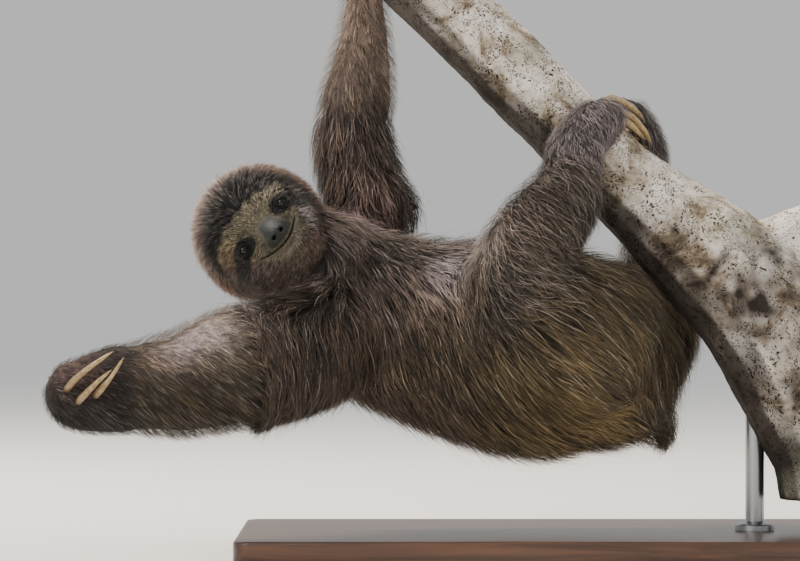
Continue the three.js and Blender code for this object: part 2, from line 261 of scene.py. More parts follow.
# %% Head axes
HEAD_AT = np.array([-218.0, -30.0, 238.0])
CROWN = Vector((-0.79, 0.0, 0.61)).normalized()
FACE_YAW = 8
FORWARD = Vector((0, -1, 0))
FORWARD.rotate(Quaternion(CROWN, math.radians(FACE_YAW)))
HEAD_AXES = np.array([CROWN.cross(FORWARD), CROWN, FORWARD])
HEAD_REACH = {"across": 53.0, "up": 54.0}
EYE = {"apart": 45.0, "up": 1.2, "forward": 33.0, "radius": 6.2}
LIDS = {"across": 3.7, "up": 2.3, "thick": 1.0}
PAD = {"across": 1.6, "top": 4.0, "top_half": 6.0, "flare": 0.5, "low_half": 13.0}
MOUTH = {"up": -19.1, "curve": 0.016, "half": 21.5}
NOSTRIL = {"across": 0.8, "apart": 7.8, "up": -11.1, "wide": 1.9, "tall": 1.45}
SNOUT = {"up": -9.0, "base": 38.0, "high": 15.5, "wide": 12.0, "tall": 11.0}


def in_head(points):
    """Places in the head's axes, in mm."""
    return (points / MM - HEAD_AT) @ HEAD_AXES.T


def from_head(points):
    """Places in the head's axes back in the room, in metres."""
    return (points @ HEAD_AXES + HEAD_AT) * MM


print("the face looks along", [round(x, 2) for x in FORWARD])

# %% [markdown]
# ## A finer net on the face
#
# Lids, nostrils and lips are finer than the net, so its squares are split once over the face,
# again about the eyes and muzzle, and a third time at the lids and nostrils. Splitting the
# whole net as finely would take sixty-four times the faces for the same gain.


# %% Split the net about the face
FACE_FRONT = 18  # mm before the middle of the head


def refined(mesh):
    """The mesh with its squares split up to three times, the most at the lids and nostrils."""
    bm = bmesh.new()
    bm.from_mesh(mesh)
    for level in range(3):
        at = in_head(np.array([face.calc_center_median() for face in bm.faces]))
        side = np.abs(at[:, 0])
        eye = np.hypot(side - EYE["apart"] / 2, at[:, 1] - EYE["up"])
        muzzle = (side < 28) & (at[:, 1] < 8) & (at[:, 1] > -26)
        nostril = np.hypot(side - NOSTRIL["apart"] / 2, at[:, 1] - NOSTRIL["up"])
        face_round = np.hypot(side, at[:, 1] + 4) < 40
        near = [face_round, (eye < 13) | muzzle, (eye < 8) | (nostril < 4)][level]
        chosen = [face for face, picked in zip(bm.faces, near & (at[:, 2] > FACE_FRONT)) if picked]
        edges = list({edge for face in chosen for edge in face.edges})
        bmesh.ops.subdivide_edges(bm, edges=edges, cuts=1, use_grid_fill=True)
    bmesh.ops.triangulate(bm, faces=[face for face in bm.faces if len(face.verts) > 4])
    return bm


skin = made_object("skin", refined(outline))
print("skin:", len(skin.data.polygons), "faces")


# %% Numbers of a mesh
def numbers(collection, name, width=3):
    """One property of every item of a collection, as rows of an array."""
    values = np.zeros(len(collection) * width, np.float32)
    collection.foreach_get(name, values)
    return values.reshape(-1, width).astype(float)


def whole_numbers(collection, name, width=1):
    """One whole-number property of every item, as rows of an array."""
    values = np.zeros(len(collection) * width, np.int32)
    collection.foreach_get(name, values)
    return values.reshape(-1, width)


places = numbers(skin.data.vertices, "co")
net_edges = whole_numbers(skin.data.edges, "vertices", 2)
EDGE_WAYS = np.concatenate([net_edges, net_edges[:, ::-1]])
NEIGHBOURS = np.bincount(EDGE_WAYS[:, 0], minlength=len(places))[:, None]


def evened(values, rounds):
    """Values at the vertices, each averaged with its neighbours' some rounds over."""
    for _ in range(rounds):
        total = np.stack([np.bincount(EDGE_WAYS[:, 0], column[EDGE_WAYS[:, 1]], len(places))
                          for column in values.T], axis=1)
        values = 0.5 * values + 0.5 * total / NEIGHBOURS
    return values


def unit(vectors):
    """The vectors at length one."""
    return vectors / np.maximum(np.linalg.norm(vectors, axis=-1, keepdims=True), 1e-9)


print("vertices:", len(places))

# %% [markdown]
# ## How the coat lies
#
# A groomer thinks of a coat as a few facts for each part of the body: how deep it stands,
# how long its locks are, how coarse and how curly, which way they point, and their colours.
# These could be painted by hand in the editor. Written as a table, they stay easy to change,
# and averaging them over the net lets one part run into the next without a seam.
#
# Sloth hair is odd: it parts on the belly and falls towards the back, because the animal
# lives upside down. On the arms it points from the hand to the shoulder.

# %% The coat's table
# Each row: depth, length and width of a lock in mm, its curl, the share of silver hairs, which are pale hairs
# brightened as painted glints, the way its tip points, and the colours of its darkest and lightest hairs.
COAT = {
    "head": (6, 11, 0.42, 0.2, 0.02, (0.78, 0.30, -0.55), "#2a201c", "#84695c"),
    "neck": (11, 34, 0.7, 0.45, 0.05, (0.70, 0.00, -0.70), "#3d322d", "#c6b1a4"),
    "trunk_front": (12, 36, 0.75, 0.45, 0.06, (0.50, 0.00, -0.85), "#2f2824", "#a89686"),
    "trunk_rear": (12, 38, 0.75, 0.40, 0.06, (0.75, 0.00, -0.65), "#332a20", "#9d8b68"),
    "tail": (5, 14, 0.7, 0.3, 0.05, (0.30, 0.00, -0.95), "#342b24", "#8a7a5f"),
    "upper_arm": (11, 34, 0.7, 0.9, 0.05, (0.12, 0.00, -1.00), "#29201b", "#7d6a57"),
    "forearm": (7, 13, 0.42, 0.4, 0.05, (0.80, 0.00, -0.60), "#29211a", "#7c6b50"),
    "hand": (3, 8, 0.45, 0.3, 0.04, (0.85, 0.00, -0.45), "#1a1411", "#443730"),
    "thigh": (12, 42, 0.75, 0.45, 0.08, (0.74, 0.00, -0.66), "#31271a", "#928059"),
    "shank": (9, 24, 0.55, 1.2, 0.16, (0.55, 0.00, -0.84), "#1d1714", "#877867"),
    "foot": (4, 12, 0.48, 1.4, 0.32, (0.15, 0.00, -0.98), "#120e0e", "#7a6f6d"),
}
# Where the last three facts of a row stand.
WAY, DARKEST, LIGHTEST = 5, 6, 7
# The hanging arm is combed down towards the shoulder.
HANGING_ARM = (0.10, 0.00, -1.00)

# A tint makes the coat about a place lighter or darker: place and reach in mm, then how much of the red,
# green and blue is left. The rows marked below are painted light and shade; the others change the coat's
# colour there.
TINTS_AND_PAINTED_LIGHT = [
    # The next two rows are painted light and shade on the reaching hand: lighter on its top, darker below.
    ((-347, -132, 142), 20, (5.6, 4.9, 5.4)),
    ((-348, -125, 103), 24, (0.42, 0.36, 0.32)),
    # The next three rows are painted sunlight along the top of the forearm and the elbow.
    ((-250, -130, 162), 24, (4.8, 5.4, 7.4)),
    ((-288, -136, 152), 20, (4.6, 4.7, 6.6)),
    ((-246, -114, 173), 26, (3.8, 3.9, 4.8)),
    # The next row is painted shade under the forearm.
    ((-262, -120, 112), 48, (0.54, 0.51, 0.41)),
    ((-187, -105, 142), 42, (0.66, 0.62, 0.60)),
    # The next two rows are painted shade in the armpit, between the ruff and the chest.
    ((-202, -80, 182), 26, (0.42, 0.34, 0.31)),
    ((-155, -62, 194), 28, (0.45, 0.41, 0.40)),
    ((-137, 12, 262), 26, (4.2, 4.0, 4.8)),
    ((-146, -60, 212), 22, (0.55, 0.50, 0.48)),
    ((-125, -50, 232), 24, (0.60, 0.56, 0.56)),
    # The next row is painted sunlight on the top of the raised arm.
    ((-146, 40, 390), 60, (5.0, 5.0, 7.0)),
    ((-113, -90, 185), 36, (1.20, 1.14, 1.28)),
    ((-93, -60, 118), 48, (0.85, 0.78, 0.56)),
    ((-90, -72, 146), 38, (0.62, 0.58, 0.42)),
    ((-108, -45, 224), 18, (0.50, 0.48, 0.46)),
    # The next four rows are the pale parting of the belly, made brighter still by painted sunlight.
    ((-55, -86, 227), 18, (5.2, 5.5, 6.4)),
    ((-68, -45, 219), 16, (5.0, 5.4, 6.4)),
    ((-80, -58, 203), 14, (3.0, 3.3, 3.9)),
    ((-84, -68, 188), 14, (1.8, 1.7, 1.8)),
    ((-40, -98, 256), 24, (2.8, 2.6, 2.8)),
    ((-8, -92, 246), 28, (0.58, 0.54, 0.46)),
    ((30, -60, 256), 24, (0.60, 0.60, 0.65)),
    ((22, -50, 318), 32, (2.8, 2.8, 3.1)),
    ((20, -90, 160), 50, (0.88, 0.80, 0.62)),
    ((32, -50, 95), 46, (2.2, 2.1, 1.9)),
    # The next two rows are painted shadow of the branch on the rump.
    ((84, -35, 145), 42, (0.56, 0.53, 0.48)),
    ((50, -50, 178), 32, (0.64, 0.60, 0.54)),
]

# A stroke combs the coat about a place another way: place and reach in mm, then the way.
# Where its last value says so, it works on both sides of the body's middle plane.
STROKES = [
    ((-58, -70, 214), 20, (-0.15, 0.0, -1.0), True),
    ((-13, -100, 190), 34, (0.92, 0.0, -0.40), True),
    ((-60, -90, 120), 36, (0.55, 0.0, -0.83), True),
    ((-92, -70, 165), 30, (0.35, 0.0, -0.93), True),
    ((-78, -40, 228), 34, (0.95, 0.0, -0.25), True),
    ((4, -70, 92), 40, (0.95, 0.0, -0.25), True),
    ((80, -60, 168), 28, (0.25, 0.0, -0.97), True),
    ((95, -40, 130), 28, (-0.1, 0.0, -1.0), True),
    ((-192, -72, 190), 26, (-0.85, -0.1, -0.45), False),
    ((-214, -72, 172), 24, (-0.80, -0.1, -0.60), False),
    ((-172, -66, 205), 22, (-0.45, -0.1, -0.85), False),
]


def row_of(node):
    """The row of the coat's table that a flesh solid uses."""
    return COAT[node.split("_", 1)[1] if node.split("_")[0] in SIDES else node]


print("rows:", len(COAT), "strokes:", len(STROKES))

# %% [markdown]
# ## Which solid is nearest
#
# Every vertex of the net has to know its part of the body. The solids' own triangles answer
# that: a search tree finds the nearest one, and its number says whose it is.


# %% Name the net's vertices
def owners(points, names):
    """For each point, the number in names of the solid that is nearest."""
    bm = bmesh.new()
    whose = []
    for number, name in enumerate(names):
        bm.from_mesh(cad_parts[name].data)
        whose += [number] * (len(bm.faces) - len(whose))
    tree = BVHTree.FromBMesh(bm)
    bm.free()
    return np.array([whose[tree.find_nearest(Vector(p))[2]] for p in points])


owner = owners(places, FLESH)
print("vertices of the head:", int((owner == 0).sum()))


# %% Facts at every vertex
BLOTCHY = 0.45


def tone(code):
    """A hex colour as three linear numbers."""
    return np.array(linear(code)[:3])


def field(value_of, rounds):
    """A value for each flesh solid, from its name, spread over the net."""
    values = np.array([np.atleast_1d(value_of(name)) for name in FLESH], float)
    return evened(values[owner], rounds)


def tinted(points, dark_base, light_base):
    """The darkest and lightest hair colours at places after every tint."""
    dark_base, light_base = dark_base.copy(), light_base.copy()
    for centre, reach, factor in TINTS_AND_PAINTED_LIGHT:
        share = np.exp(-(np.linalg.norm(points / MM - centre, axis=1) / reach) ** 2)[:, None]
        dark_base *= 1 + 0.6 * share * (np.array(factor) - 1)
        light_base *= 1 + share * (np.array(factor) - 1)
    return dark_base, light_base


def lie_of(name):
    """The way the tips point on one flesh solid."""
    return HANGING_ARM if name in ("left_forearm", "left_hand") else row_of(name)[WAY]


depth, length, width, curl, silver_glint = field(lambda name: row_of(name)[:WAY], 14).T
dark = field(lambda name: tone(row_of(name)[DARKEST]), 12)
light = field(lambda name: tone(row_of(name)[LIGHTEST]), 12)
lie = field(lie_of, 4)
blotch = np.array([
    noise.noise(Vector(place) * 28) + 0.6 * noise.noise(Vector(place) * 75)
    for place in places
])
light *= (1 + BLOTCHY * blotch)[:, None]
head_share = field(lambda name: name == "head", 3)[:, 0]
print("deepest coat:", round(depth.max(), 1), "mm")

# %% [markdown]
# ## Marks of the face
#
# A brown-throated three-toed sloth wears a pale mask, dark stripes that run out and down from its eyes, a
# bare grey muzzle and a dark hood. Each mark could be a painted image, but a formula needs no map, works at
# any size, and serves skin and coat alike. A few marks are painted light and shade instead: the pale rim of
# the hood, the shadow under the chin, the darker lower half of the pad, the line of the mouth and the
# nostrils.


# %% Marks as shares from 0 to 1
MARKS_REACH = 66  # mm from the middle of the head


def over_mouth(place):
    """How far each place in the head's axes is above the line of the mouth."""
    return place[:, 1] - MOUTH["up"] - MOUTH["curve"] * place[:, 0] ** 2


def on_pad(place):
    """1 on the bare pad of the nose, which widens evenly from the bridge to the lips."""
    half = PAD["top_half"] + PAD["flare"] * (PAD["top"] - place[:, 1])
    half = np.clip(half, 2.0, PAD["low_half"])
    level = ease(PAD["top"] + 5, PAD["top"] - 4, place[:, 1]) * ease(0.8, 3.6, over_mouth(place))
    return (1 - ease(0.66, 1.3, np.abs(place[:, 0] - PAD["across"]) / half)) * level


def mask_ring(place):
    """0 in the middle of the pale mask and 1 on its ragged edge."""
    across, up = place[:, 0] + 2.0, place[:, 1]
    ragged = 0.05 * np.sin(0.55 * across + 1.7 * np.sin(0.4 * up))
    ragged += 0.04 * np.sin(0.8 * up + 1.3 * np.sin(0.5 * across))
    reach = np.where(up > 0, 23.0, 28.0)
    return ((np.abs(across) / 37.0) ** 2.5 + (np.abs(up) / reach) ** 2.5) ** 0.4 + ragged


def face_marks(points):
    """How strongly each mark of the face shows at each place."""
    place = in_head(points)
    across, up, out = place.T
    side = np.abs(across)
    front = ease(4, 16, out)
    rise = over_mouth(place)
    ring = mask_ring(place)
    rim = np.hypot(across / HEAD_REACH["across"], up / HEAD_REACH["up"])
    inside = 1 - ease(54, MARKS_REACH, np.linalg.norm(place, axis=1))
    marks = {}
    marks["band"] = ease(0.86, 1.02, ring) * (1 - ease(0.72, 0.96, rim)) * front
    # Painted rim light: pale hair round the outline of the hood; on its reddish sides the same painted light
    # falls on auburn hair.
    marks["rim"] = ease(0.79, 0.97, rim) * ease(-34, -6, up) * ease(-38, -12, out) * inside
    reddish = np.maximum(ease(22, 40, across), ease(20, 44, -across) * ease(14, -8, up))
    marks["rim_lit_auburn"] = marks["rim"] * reddish
    # Painted shadow under the chin, darkening the throat to near black.
    marks["throat"] = ease(-36, -47, up) * inside
    marks["mask"] = (1 - ease(0.84, 1.06, ring)) * front
    marks["tan"] = marks["mask"] * ease(18, 36, -across)
    low_face = np.hypot((across + 3) / 42.0, (up + 8) / 38.0)
    marks["jaw"] = ease(1.0, -4.0, rise) * (1 - ease(0.88, 1.1, low_face)) * front
    marks["cheek"] = marks["jaw"] * np.maximum(ease(14, 30, side), ease(0.6, 0.95, low_face))
    crescent = up + 27.6 - 0.029 * across ** 2
    marks["chin"] = np.exp(-(crescent / 2.6) ** 2) * (1 - ease(15, 25, side)) * front
    off_flecks = np.hypot((side - 31 - 0.43 * (up + 15)) / 0.8, (up + 15) / 1.9)
    marks["dusk"] = (1 - ease(5.0, 10.5, off_flecks)) * front * np.where(across > 0, 1.0, 0.3)
    dots = np.sin(2.0 * across + 1.3 * np.sin(1.1 * up)) * np.sin(2.2 * up + 1.2 * np.sin(0.9 * across))
    marks["flecks"] = marks["dusk"] * ease(-0.1, 0.25, dots)
    marks["bare"] = on_pad(place) * ease(28, 34, out)
    # Painted shade: the bare pad grows darker towards its lower half, away from the light above.
    marks["muzzle"] = marks["bare"] * ease(-3, -13, up)
    patch = 1 - ease(0.88, 1.10, np.hypot((side - 21.8) / 10.8, (up - 1.2) / 6.9))
    turn = math.radians(44)
    along = (side - 27) * math.cos(turn) - (up + 2.0) * math.sin(turn)
    beside = (side - 27) * math.sin(turn) + (up + 2.0) * math.cos(turn)
    marks["stripe"] = (1 - ease(3.6, 7.5, np.abs(beside))) * ease(-5, 0, along) * (1 - ease(14, 24, along))
    marks["stripe"] = marks["stripe"] * front
    marks["patch"] = patch * front
    # The line of the mouth is dark lip skin, darkened to near black as painted shade in its crease.
    marks["lips"] = (1 - ease(0.35, 1.0, np.abs(rise))) * (1 - ease(0.88, 1.04, side / MOUTH["half"]))
    marks["lips"] = marks["lips"] * front
    # Painted shade: the nostrils are darkened to near black inside.
    hole = np.hypot((np.abs(across - NOSTRIL["across"]) - NOSTRIL["apart"] / 2) / NOSTRIL["wide"],
                    (up - NOSTRIL["up"]) / NOSTRIL["tall"])
    marks["nostril"] = (1 - ease(0.75, 1.15, hole)) * front
    return marks


# Each mark in the order it is laid on, with the colours of its darkest and lightest hairs.
LAYERS = [
    ("band", "#0a0807", "#2c211b"),
    # Painted rim light round the hood, then the same light on the auburn hair of its sides.
    ("rim", "#8b7165", "#f8e2d6"),
    ("rim_lit_auburn", "#462a1c", "#cd9469"),
    # Painted shadow under the chin.
    ("throat", "#0f0b0a", "#33261f"),
    ("mask", "#30291e", "#b8ac8a"),
    ("tan", "#5f4c32", "#e2c18a"),
    ("jaw", "#3d332a", "#a2917c"),
    ("cheek", "#32251f", "#8f7363"),
    ("chin", "#696152", "#cfc5ae"),
    ("dusk", "#241b18", "#6e5a52"),
    ("flecks", "#8d7c76", "#fff2ec"),
    ("bare", "#202426", "#363c3e"),
    # Painted shade on the lower half of the bare pad.
    ("muzzle", "#1b1b19", "#2f302c"),
    ("stripe", "#1c1512", "#40322c"),
    ("patch", "#0d0a09", "#211a18"),
    # Dark lip skin, with painted shade in the mouth's crease.
    ("lips", "#0f0b0a", "#1b1513"),
    # Painted shade inside the nostrils.
    ("nostril", "#070605", "#0f0c0b"),
]


def coat_colours(points, dark_base, light_base):
    """The darkest and lightest hair colours at places: the table's, then the face's marks."""
    near = np.linalg.norm(points / MM - HEAD_AT, axis=1) < MARKS_REACH
    marks = face_marks(points[near])
    tones = []
    for base, layer_code in ((dark_base, 1), (light_base, 2)):
        tones.append(base.copy())
        for layer in LAYERS:
            share = marks[layer[0]][:, None]
            tones[-1][near] = tones[-1][near] * (1 - share) + tone(layer[layer_code]) * share
    return tones


print("marks:", [layer[0] for layer in LAYERS])

# %% [markdown]
# ## From outline to skin
#
# The net stands at the tips of the hair. Moved inwards by the coat's depth it becomes the
# skin. On the face the hair is short, so the depth falls from the hood to the muzzle there,
# and is least of all on the bare muzzle.
#
# Flesh and claws were separate solids, and a claw that simply leaves a sunken skin looks
# stuck on. So the skin stays out round the root of each claw, as a knuckle. The solid of the
# reaching hand ends in a point, so there the skin is drawn onto the ball of a fist.

# %% Move the net inwards
FACE_DEPTH = 2.6
MUZZLE_SHARE = 0.15
outline_marks = face_marks(places)
bald = np.maximum(outline_marks["mask"], outline_marks["jaw"])
beside_face = field(lambda name: name in ("head", "neck"), 3)[:, 0]
face_share = evened((bald * beside_face)[:, None], 3)[:, 0]
depth = depth * (1 - face_share) + FACE_DEPTH * face_share
depth *= 1 - (1 - MUZZLE_SHARE) * outline_marks["bare"] * head_share
# Round the root of a claw: how wide the knuckle is, how thin the coat gets there, and how
# far, in mm, the skin stays out.
CLAW_ROOT = 9 * MM
THINNED = 0.75
KNUCKLE = 4.5
# These claws lie back along the palm, so their roots are at their ends far from the arm.
CURLED = ("right", "finger")
# The middle and the radius of the fist, in mm.
FIST = {"place": (-346, -118, 121), "radius": 24.5}


def near_claws(points):
    """1 where a claw leaves the flesh, and 0 a finger's width away."""
    close = np.full(len(points), 9.0)
    for side in SIDES:
        for kind, length in (("finger", "hand"), ("toe", "foot")):
            around = np.array(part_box(f"{side}_{length}")).mean(axis=0)
            for number in (1, 2, 3):
                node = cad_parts[f"{side}_{kind}_claw_{number}"].data
                spots = numbers(node.vertices, "co")
                root = spots[np.linalg.norm(spots - around, axis=1).argmin()]
                if (side, kind) == CURLED:
                    root = spots[spots[:, 0].argmin()]
                close = np.minimum(close, np.linalg.norm(points - root, axis=1))
    return np.exp(-(close / CLAW_ROOT) ** 2)


def blunt_ended(points):
    """The points, with those at the reaching hand's end drawn onto the ball of a fist."""
    arm = points / MM - FIST["place"]
    far = np.linalg.norm(arm, axis=1)
    share = ease(0, 8, -arm[:, 0]) * (far < 2 * FIST["radius"])
    return points + (share * (FIST["radius"] / far - 1))[:, None] * arm * MM


at_claws = near_claws(places)
depth *= 1 - THINNED * at_claws
facing = unit(evened(numbers(skin.data.vertex_normals, "vector"), 2))
sunk = (depth - KNUCKLE * at_claws)[:, None] * MM
places = blunt_ended(evened(places - facing * sunk, 2))
print("mean depth:", round(depth.mean(), 1), "mm")

# %% [markdown]
# ## Sculpt the face
#
# A sculptor would use brushes. Here each brush is a soft bump with a place and a size, which
# presses in or draws out along the way the face looks: sockets, brows, cheeks, nostrils, lips.
# The lids are drawn over the eyeball itself, so that they fit it, and open like an almond.


# %% Brushes
def swell(place, across_at, up_at, wide, tall):
    """A soft round bump in the face's plane: 1 at its middle and 0 far away."""
    return np.exp(-((place[:, 0] - across_at) / wide) ** 2 - ((place[:, 1] - up_at) / tall) ** 2)


def rounded_snout(place):
    """How far each place moves out or in to round off the snout."""
    dome = SNOUT["base"] + SNOUT["high"] * swell(place, 0, SNOUT["up"], SNOUT["wide"], SNOUT["tall"])
    share = np.exp(-(place[:, 0] / 15) ** 4 - ((place[:, 1] + 8) / 15) ** 4)
    return share * (dome - place[:, 2])


def sculpted(place):
    """Places in the head's axes after the face's own forms are pressed in and drawn out."""
    place = place.copy()
    front = ease(14, 26, place[:, 2])
    out = rounded_snout(place)
    for side in (-1, 1):
        eye_across = side * EYE["apart"] / 2
        out -= 0.5 * swell(place, eye_across, EYE["up"], 10, 8)
        out += 1.3 * swell(place, eye_across * 0.95, EYE["up"] + 9, 12, 3.6)
        out -= 0.7 * swell(place, eye_across, EYE["up"] + 5.4, 7, 1.1)
        out -= 0.6 * swell(place, eye_across, EYE["up"] - 5.6, 6.5, 1.1)
        out += 1.5 * swell(place, side * 24, -12, 10, 7)
        nostril_across = NOSTRIL["across"] + side * NOSTRIL["apart"] / 2
        out += 0.9 * swell(place, nostril_across, NOSTRIL["up"] + 1.6, 3.6, 2.4)
        out += 0.7 * swell(place, side * 7.4, NOSTRIL["up"], 1.8, 3.0)
        out -= 5.0 * swell(place, nostril_across, NOSTRIL["up"], NOSTRIL["wide"] * 0.8, NOSTRIL["tall"] * 0.8)
        out += 0.8 * swell(place, side * 6.5, MOUTH["up"] + 4.6, 5.5, 2.4)
    out -= 0.7 * swell(place, NOSTRIL["across"], NOSTRIL["up"] - 1.5, 1.1, 4.4)
    out += 1.2 * swell(place, 0, -25.5, 15, 4)
    rise = over_mouth(place)
    ends = 1 - ease(0.8, 1.02, np.abs(place[:, 0]) / MOUTH["half"])
    out -= 1.9 * np.exp(-(rise / 0.65) ** 2) * ends
    out += 0.8 * np.exp(-((rise - 2.4) / 1.7) ** 2) * ends
    out += 0.8 * np.exp(-((rise + 2.4) / 1.7) ** 2) * ends
    place[:, 2] += out * front
    return place


def almond(place, side):
    """From an eye's middle: the arm to each place, and 1 at the edge of the lids' opening."""
    arm = place - np.array([side * EYE["apart"] / 2, EYE["up"], EYE["forward"]])
    arch = arm[:, 1] + 0.035 * arm[:, 0] ** 2
    return arm, np.hypot(arm[:, 0] / LIDS["across"], (arch - 0.2) / LIDS["up"])


def lidded(place):
    """Places in the head's axes with lids drawn forwards over the eyeballs."""
    place = place.copy()
    for side in (-1, 1):
        arm, slit = almond(place, side)
        wide = np.hypot(arm[:, 0], arm[:, 1])
        heavy = 0.3 * ease(0.0, 2.0, arm[:, 1])
        lid = EYE["radius"] + LIDS["thick"] + heavy
        dome = np.sqrt(np.maximum(lid ** 2 - wide ** 2, 0))
        sunk = np.sqrt(np.maximum((EYE["radius"] - 1.6) ** 2 - wide ** 2, 0))
        front = arm[:, 2] > -4
        raised = np.where((wide < lid) & front, np.maximum(dome, arm[:, 2]), arm[:, 2])
        new = np.where((slit < 1) & front, sunk, raised)
        place[:, 2] += new - arm[:, 2]
    return place


on_head = np.linalg.norm(places / MM - HEAD_AT, axis=1) < 70
places[on_head] = from_head(lidded(sculpted(in_head(places[on_head]))))
skin.data.vertices.foreach_set("co", places.astype(np.float32).ravel())
skin.data.update()
print("vertices sculpted:", int(on_head.sum()))

# %% [markdown]
# ## Comb the coat
#
# The lie of the hair is one arrow at every vertex. It starts from the table, is turned by
# the strokes, parts along the belly, and on the head it runs out from the nose over the face
# and then back round the hood. Laying each arrow flat on the skin and averaging it with its
# neighbours makes one smooth flow, as a comb would.

# %% The flow over the skin
normals = numbers(skin.data.vertex_normals, "vector")
PARTING = 0.55


def stroked(lie):
    """The lie after every stroke of the comb."""
    for centre, reach, way, both in STROKES:
        at = places / MM
        turned = np.tile(np.array(way, float), (len(at), 1))
        if both:
            turned[:, 1] *= -np.sign(at[:, 1])
            at = at * [1, 0, 1] - np.abs(at) * [0, 1, 0]
        share = np.exp(-(np.linalg.norm(at - centre, axis=1) / reach) ** 2)[:, None]
        lie = lie * (1 - share) + unit(turned) * share
    return lie


def head_lie():
    """On the head: out from the nose over the face, and back round the hood."""
    local = in_head(places)
    fan = np.stack([local[:, 0], local[:, 1] + 3, np.zeros(len(local))], axis=1)
    down = -0.25 - 0.9 * ease(20, 50, np.abs(local[:, 0])) - 0.7 * ease(5, -25, local[:, 2])
    hood = np.stack([np.zeros(len(local)), down, np.full(len(local), -0.8)], axis=1)
    share = face_share[:, None]
    return (unit(fan) * share + unit(hood) * (1 - share)) @ HEAD_AXES


def flat_on_skin(arrows):
    """Arrows without the part that stands on the skin, at length one."""
    return unit(arrows - normals * (arrows * normals).sum(axis=1, keepdims=True))


on_trunk = field(lambda name: name.startswith("trunk"), 6)[:, 0]
lie = unit(lie) * (1 - head_share[:, None]) + head_lie() * head_share[:, None]
lie = stroked(lie)
lie[:, 1] += PARTING * on_trunk * np.tanh(places[:, 1] / (12 * MM)) * np.maximum(normals[:, 2], 0)
lie = flat_on_skin(evened(flat_on_skin(lie), 6))
print("arrows:", len(lie))

# %% [markdown]
# ## Colour the skin
#
# Each vertex gets its colour from the same table and marks as the hair above it, only
# darker, as skin is in the shade at the roots. The bare muzzle keeps its own grey, with fine
# wrinkles pressed in by a cell pattern of about one millimetre.

# %% Skin colours
skin_marks = face_marks(places)
for name in skin_marks:
    skin_marks[name] = skin_marks[name] * head_share
dark_tones, light_tones = coat_colours(places, *tinted(places, dark, light))
skin_tones = 0.6 * dark_tones + 0.25 * light_tones
bare = skin_marks["bare"][:, None]
skin_tones = skin_tones * (1 - bare) + (0.35 * dark_tones + 0.65 * light_tones) * bare


def paint(obj, name, tones):
    """Store a colour for every vertex."""
    layer = obj.data.color_attributes.new(name, "FLOAT_COLOR", "POINT")
    rgba = np.concatenate([tones, np.ones((len(tones), 1))], axis=1)
    layer.data.foreach_set("color", rgba.astype(np.float32).ravel())


paint(skin, "skin_tint", skin_tones)
bare_layer = skin.data.attributes.new("bare", "FLOAT", "POINT")
bare_layer.data.foreach_set("value", skin_marks["bare"].astype(np.float32))
print("skin coloured")

# %% Skin finish
# Hide is dry, pored skin: dull under the hair, and a little glossier where it is bare. Real
# pores are finer than the render can show, so these stand 1.2 to 1.6 mm apart.
hide, tree, shader = finish("sloth_hide", Roughness=0.75, IOR=1.42)
spot = add(tree, "TexCoord")
tint = add(tree, "Attribute", attribute_name="skin_tint")
pores = add(tree, "TexNoise", {"Scale": 620.0, "Detail": 5.0}, {"Vector": spot.outputs["Object"]})
cells = add(tree, "TexVoronoi", {"Scale": 850.0}, {"Vector": spot.outputs["Object"]},
            feature="DISTANCE_TO_EDGE")
shade = add(tree, "ValToRGB", {}, {"Fac": pores.outputs["Fac"]},
            stops=[(0.3, "#9c9c9c"), (0.7, "#ffffff")])
colour = add(tree, "Mix", {0: 1.0}, {6: tint.outputs["Color"], 7: shade.outputs["Color"]},
             data_type="RGBA", blend_type="MULTIPLY")
tree.links.new(colour.outputs[2], shader.inputs["Base Color"])
is_bare = add(tree, "Attribute", attribute_name="bare")
gloss = add(tree, "MapRange", {"To Min": 0.85, "To Max": 0.66}, {"Value": is_bare.outputs["Fac"]})
tree.links.new(gloss.outputs["Result"], shader.inputs["Roughness"])
fine = add(tree, "Bump", {"Strength": 0.5, "Distance": 0.4 * MM}, {"Height": pores.outputs["Fac"]})
wrinkles = add(tree, "Bump", {"Strength": 0.6, "Distance": 0.35 * MM},
               {"Height": cells.outputs["Distance"], "Normal": fine.outputs["Normal"]})
tree.links.new(wrinkles.outputs["Normal"], shader.inputs["Normal"])
skin.data.materials.append(hide)
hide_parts("nose", *FLESH)
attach(skin, "root")
print("skin finish:", hide.name)

# %% [markdown]
# ## Locks of hair
#
# Film hair is made of curves, but curves are lost when a model is handed on, so each lock
# here is a thin closed spike with three sides. It starts at a root on the skin, follows the
# comb's arrows over the body, rises to the coat's depth, waves a little and ends in a point.
# Locks near each other lean together and share their wave, which gives the clumps that coarse
# hair falls into.
#
# More than a hundred thousand locks would take hours as separate objects. Arrays of numbers
# lay them all at once, joined in one mesh for each part of the body.

# %% Search the skin
faces = [tuple(face.vertices) for face in skin.data.polygons]
skin_tree = BVHTree.FromPolygons([Vector(p) for p in places], faces)
loop_vertex = whole_numbers(skin.data.loops, "vertex_index")[:, 0]
face_start = whole_numbers(skin.data.polygons, "loop_start")[:, 0]
face_size = whole_numbers(skin.data.polygons, "loop_total")[:, 0]
loop_face = np.repeat(np.arange(len(faces)), face_size)


def of_faces(values):
    """Values at the vertices as the mean of each face's corners."""
    columns = [np.bincount(loop_face, column[loop_vertex], len(faces)) for column in values.T]
    return np.stack(columns, axis=1) / face_size[:, None]


face_lie = [Vector(arrow) for arrow in unit(of_faces(lie))]
face_normal = [Vector(arrow) for arrow in unit(of_faces(normals))]
face_owner = owner[loop_vertex[face_start]]
face_place = of_faces(places)
face_bare = of_faces(np.stack([skin_marks["bare"], skin_marks["lips"], face_share], axis=1))
print("faces:", len(faces))

# %% Guide hairs
STEPS = 7
LEAN = 0.55


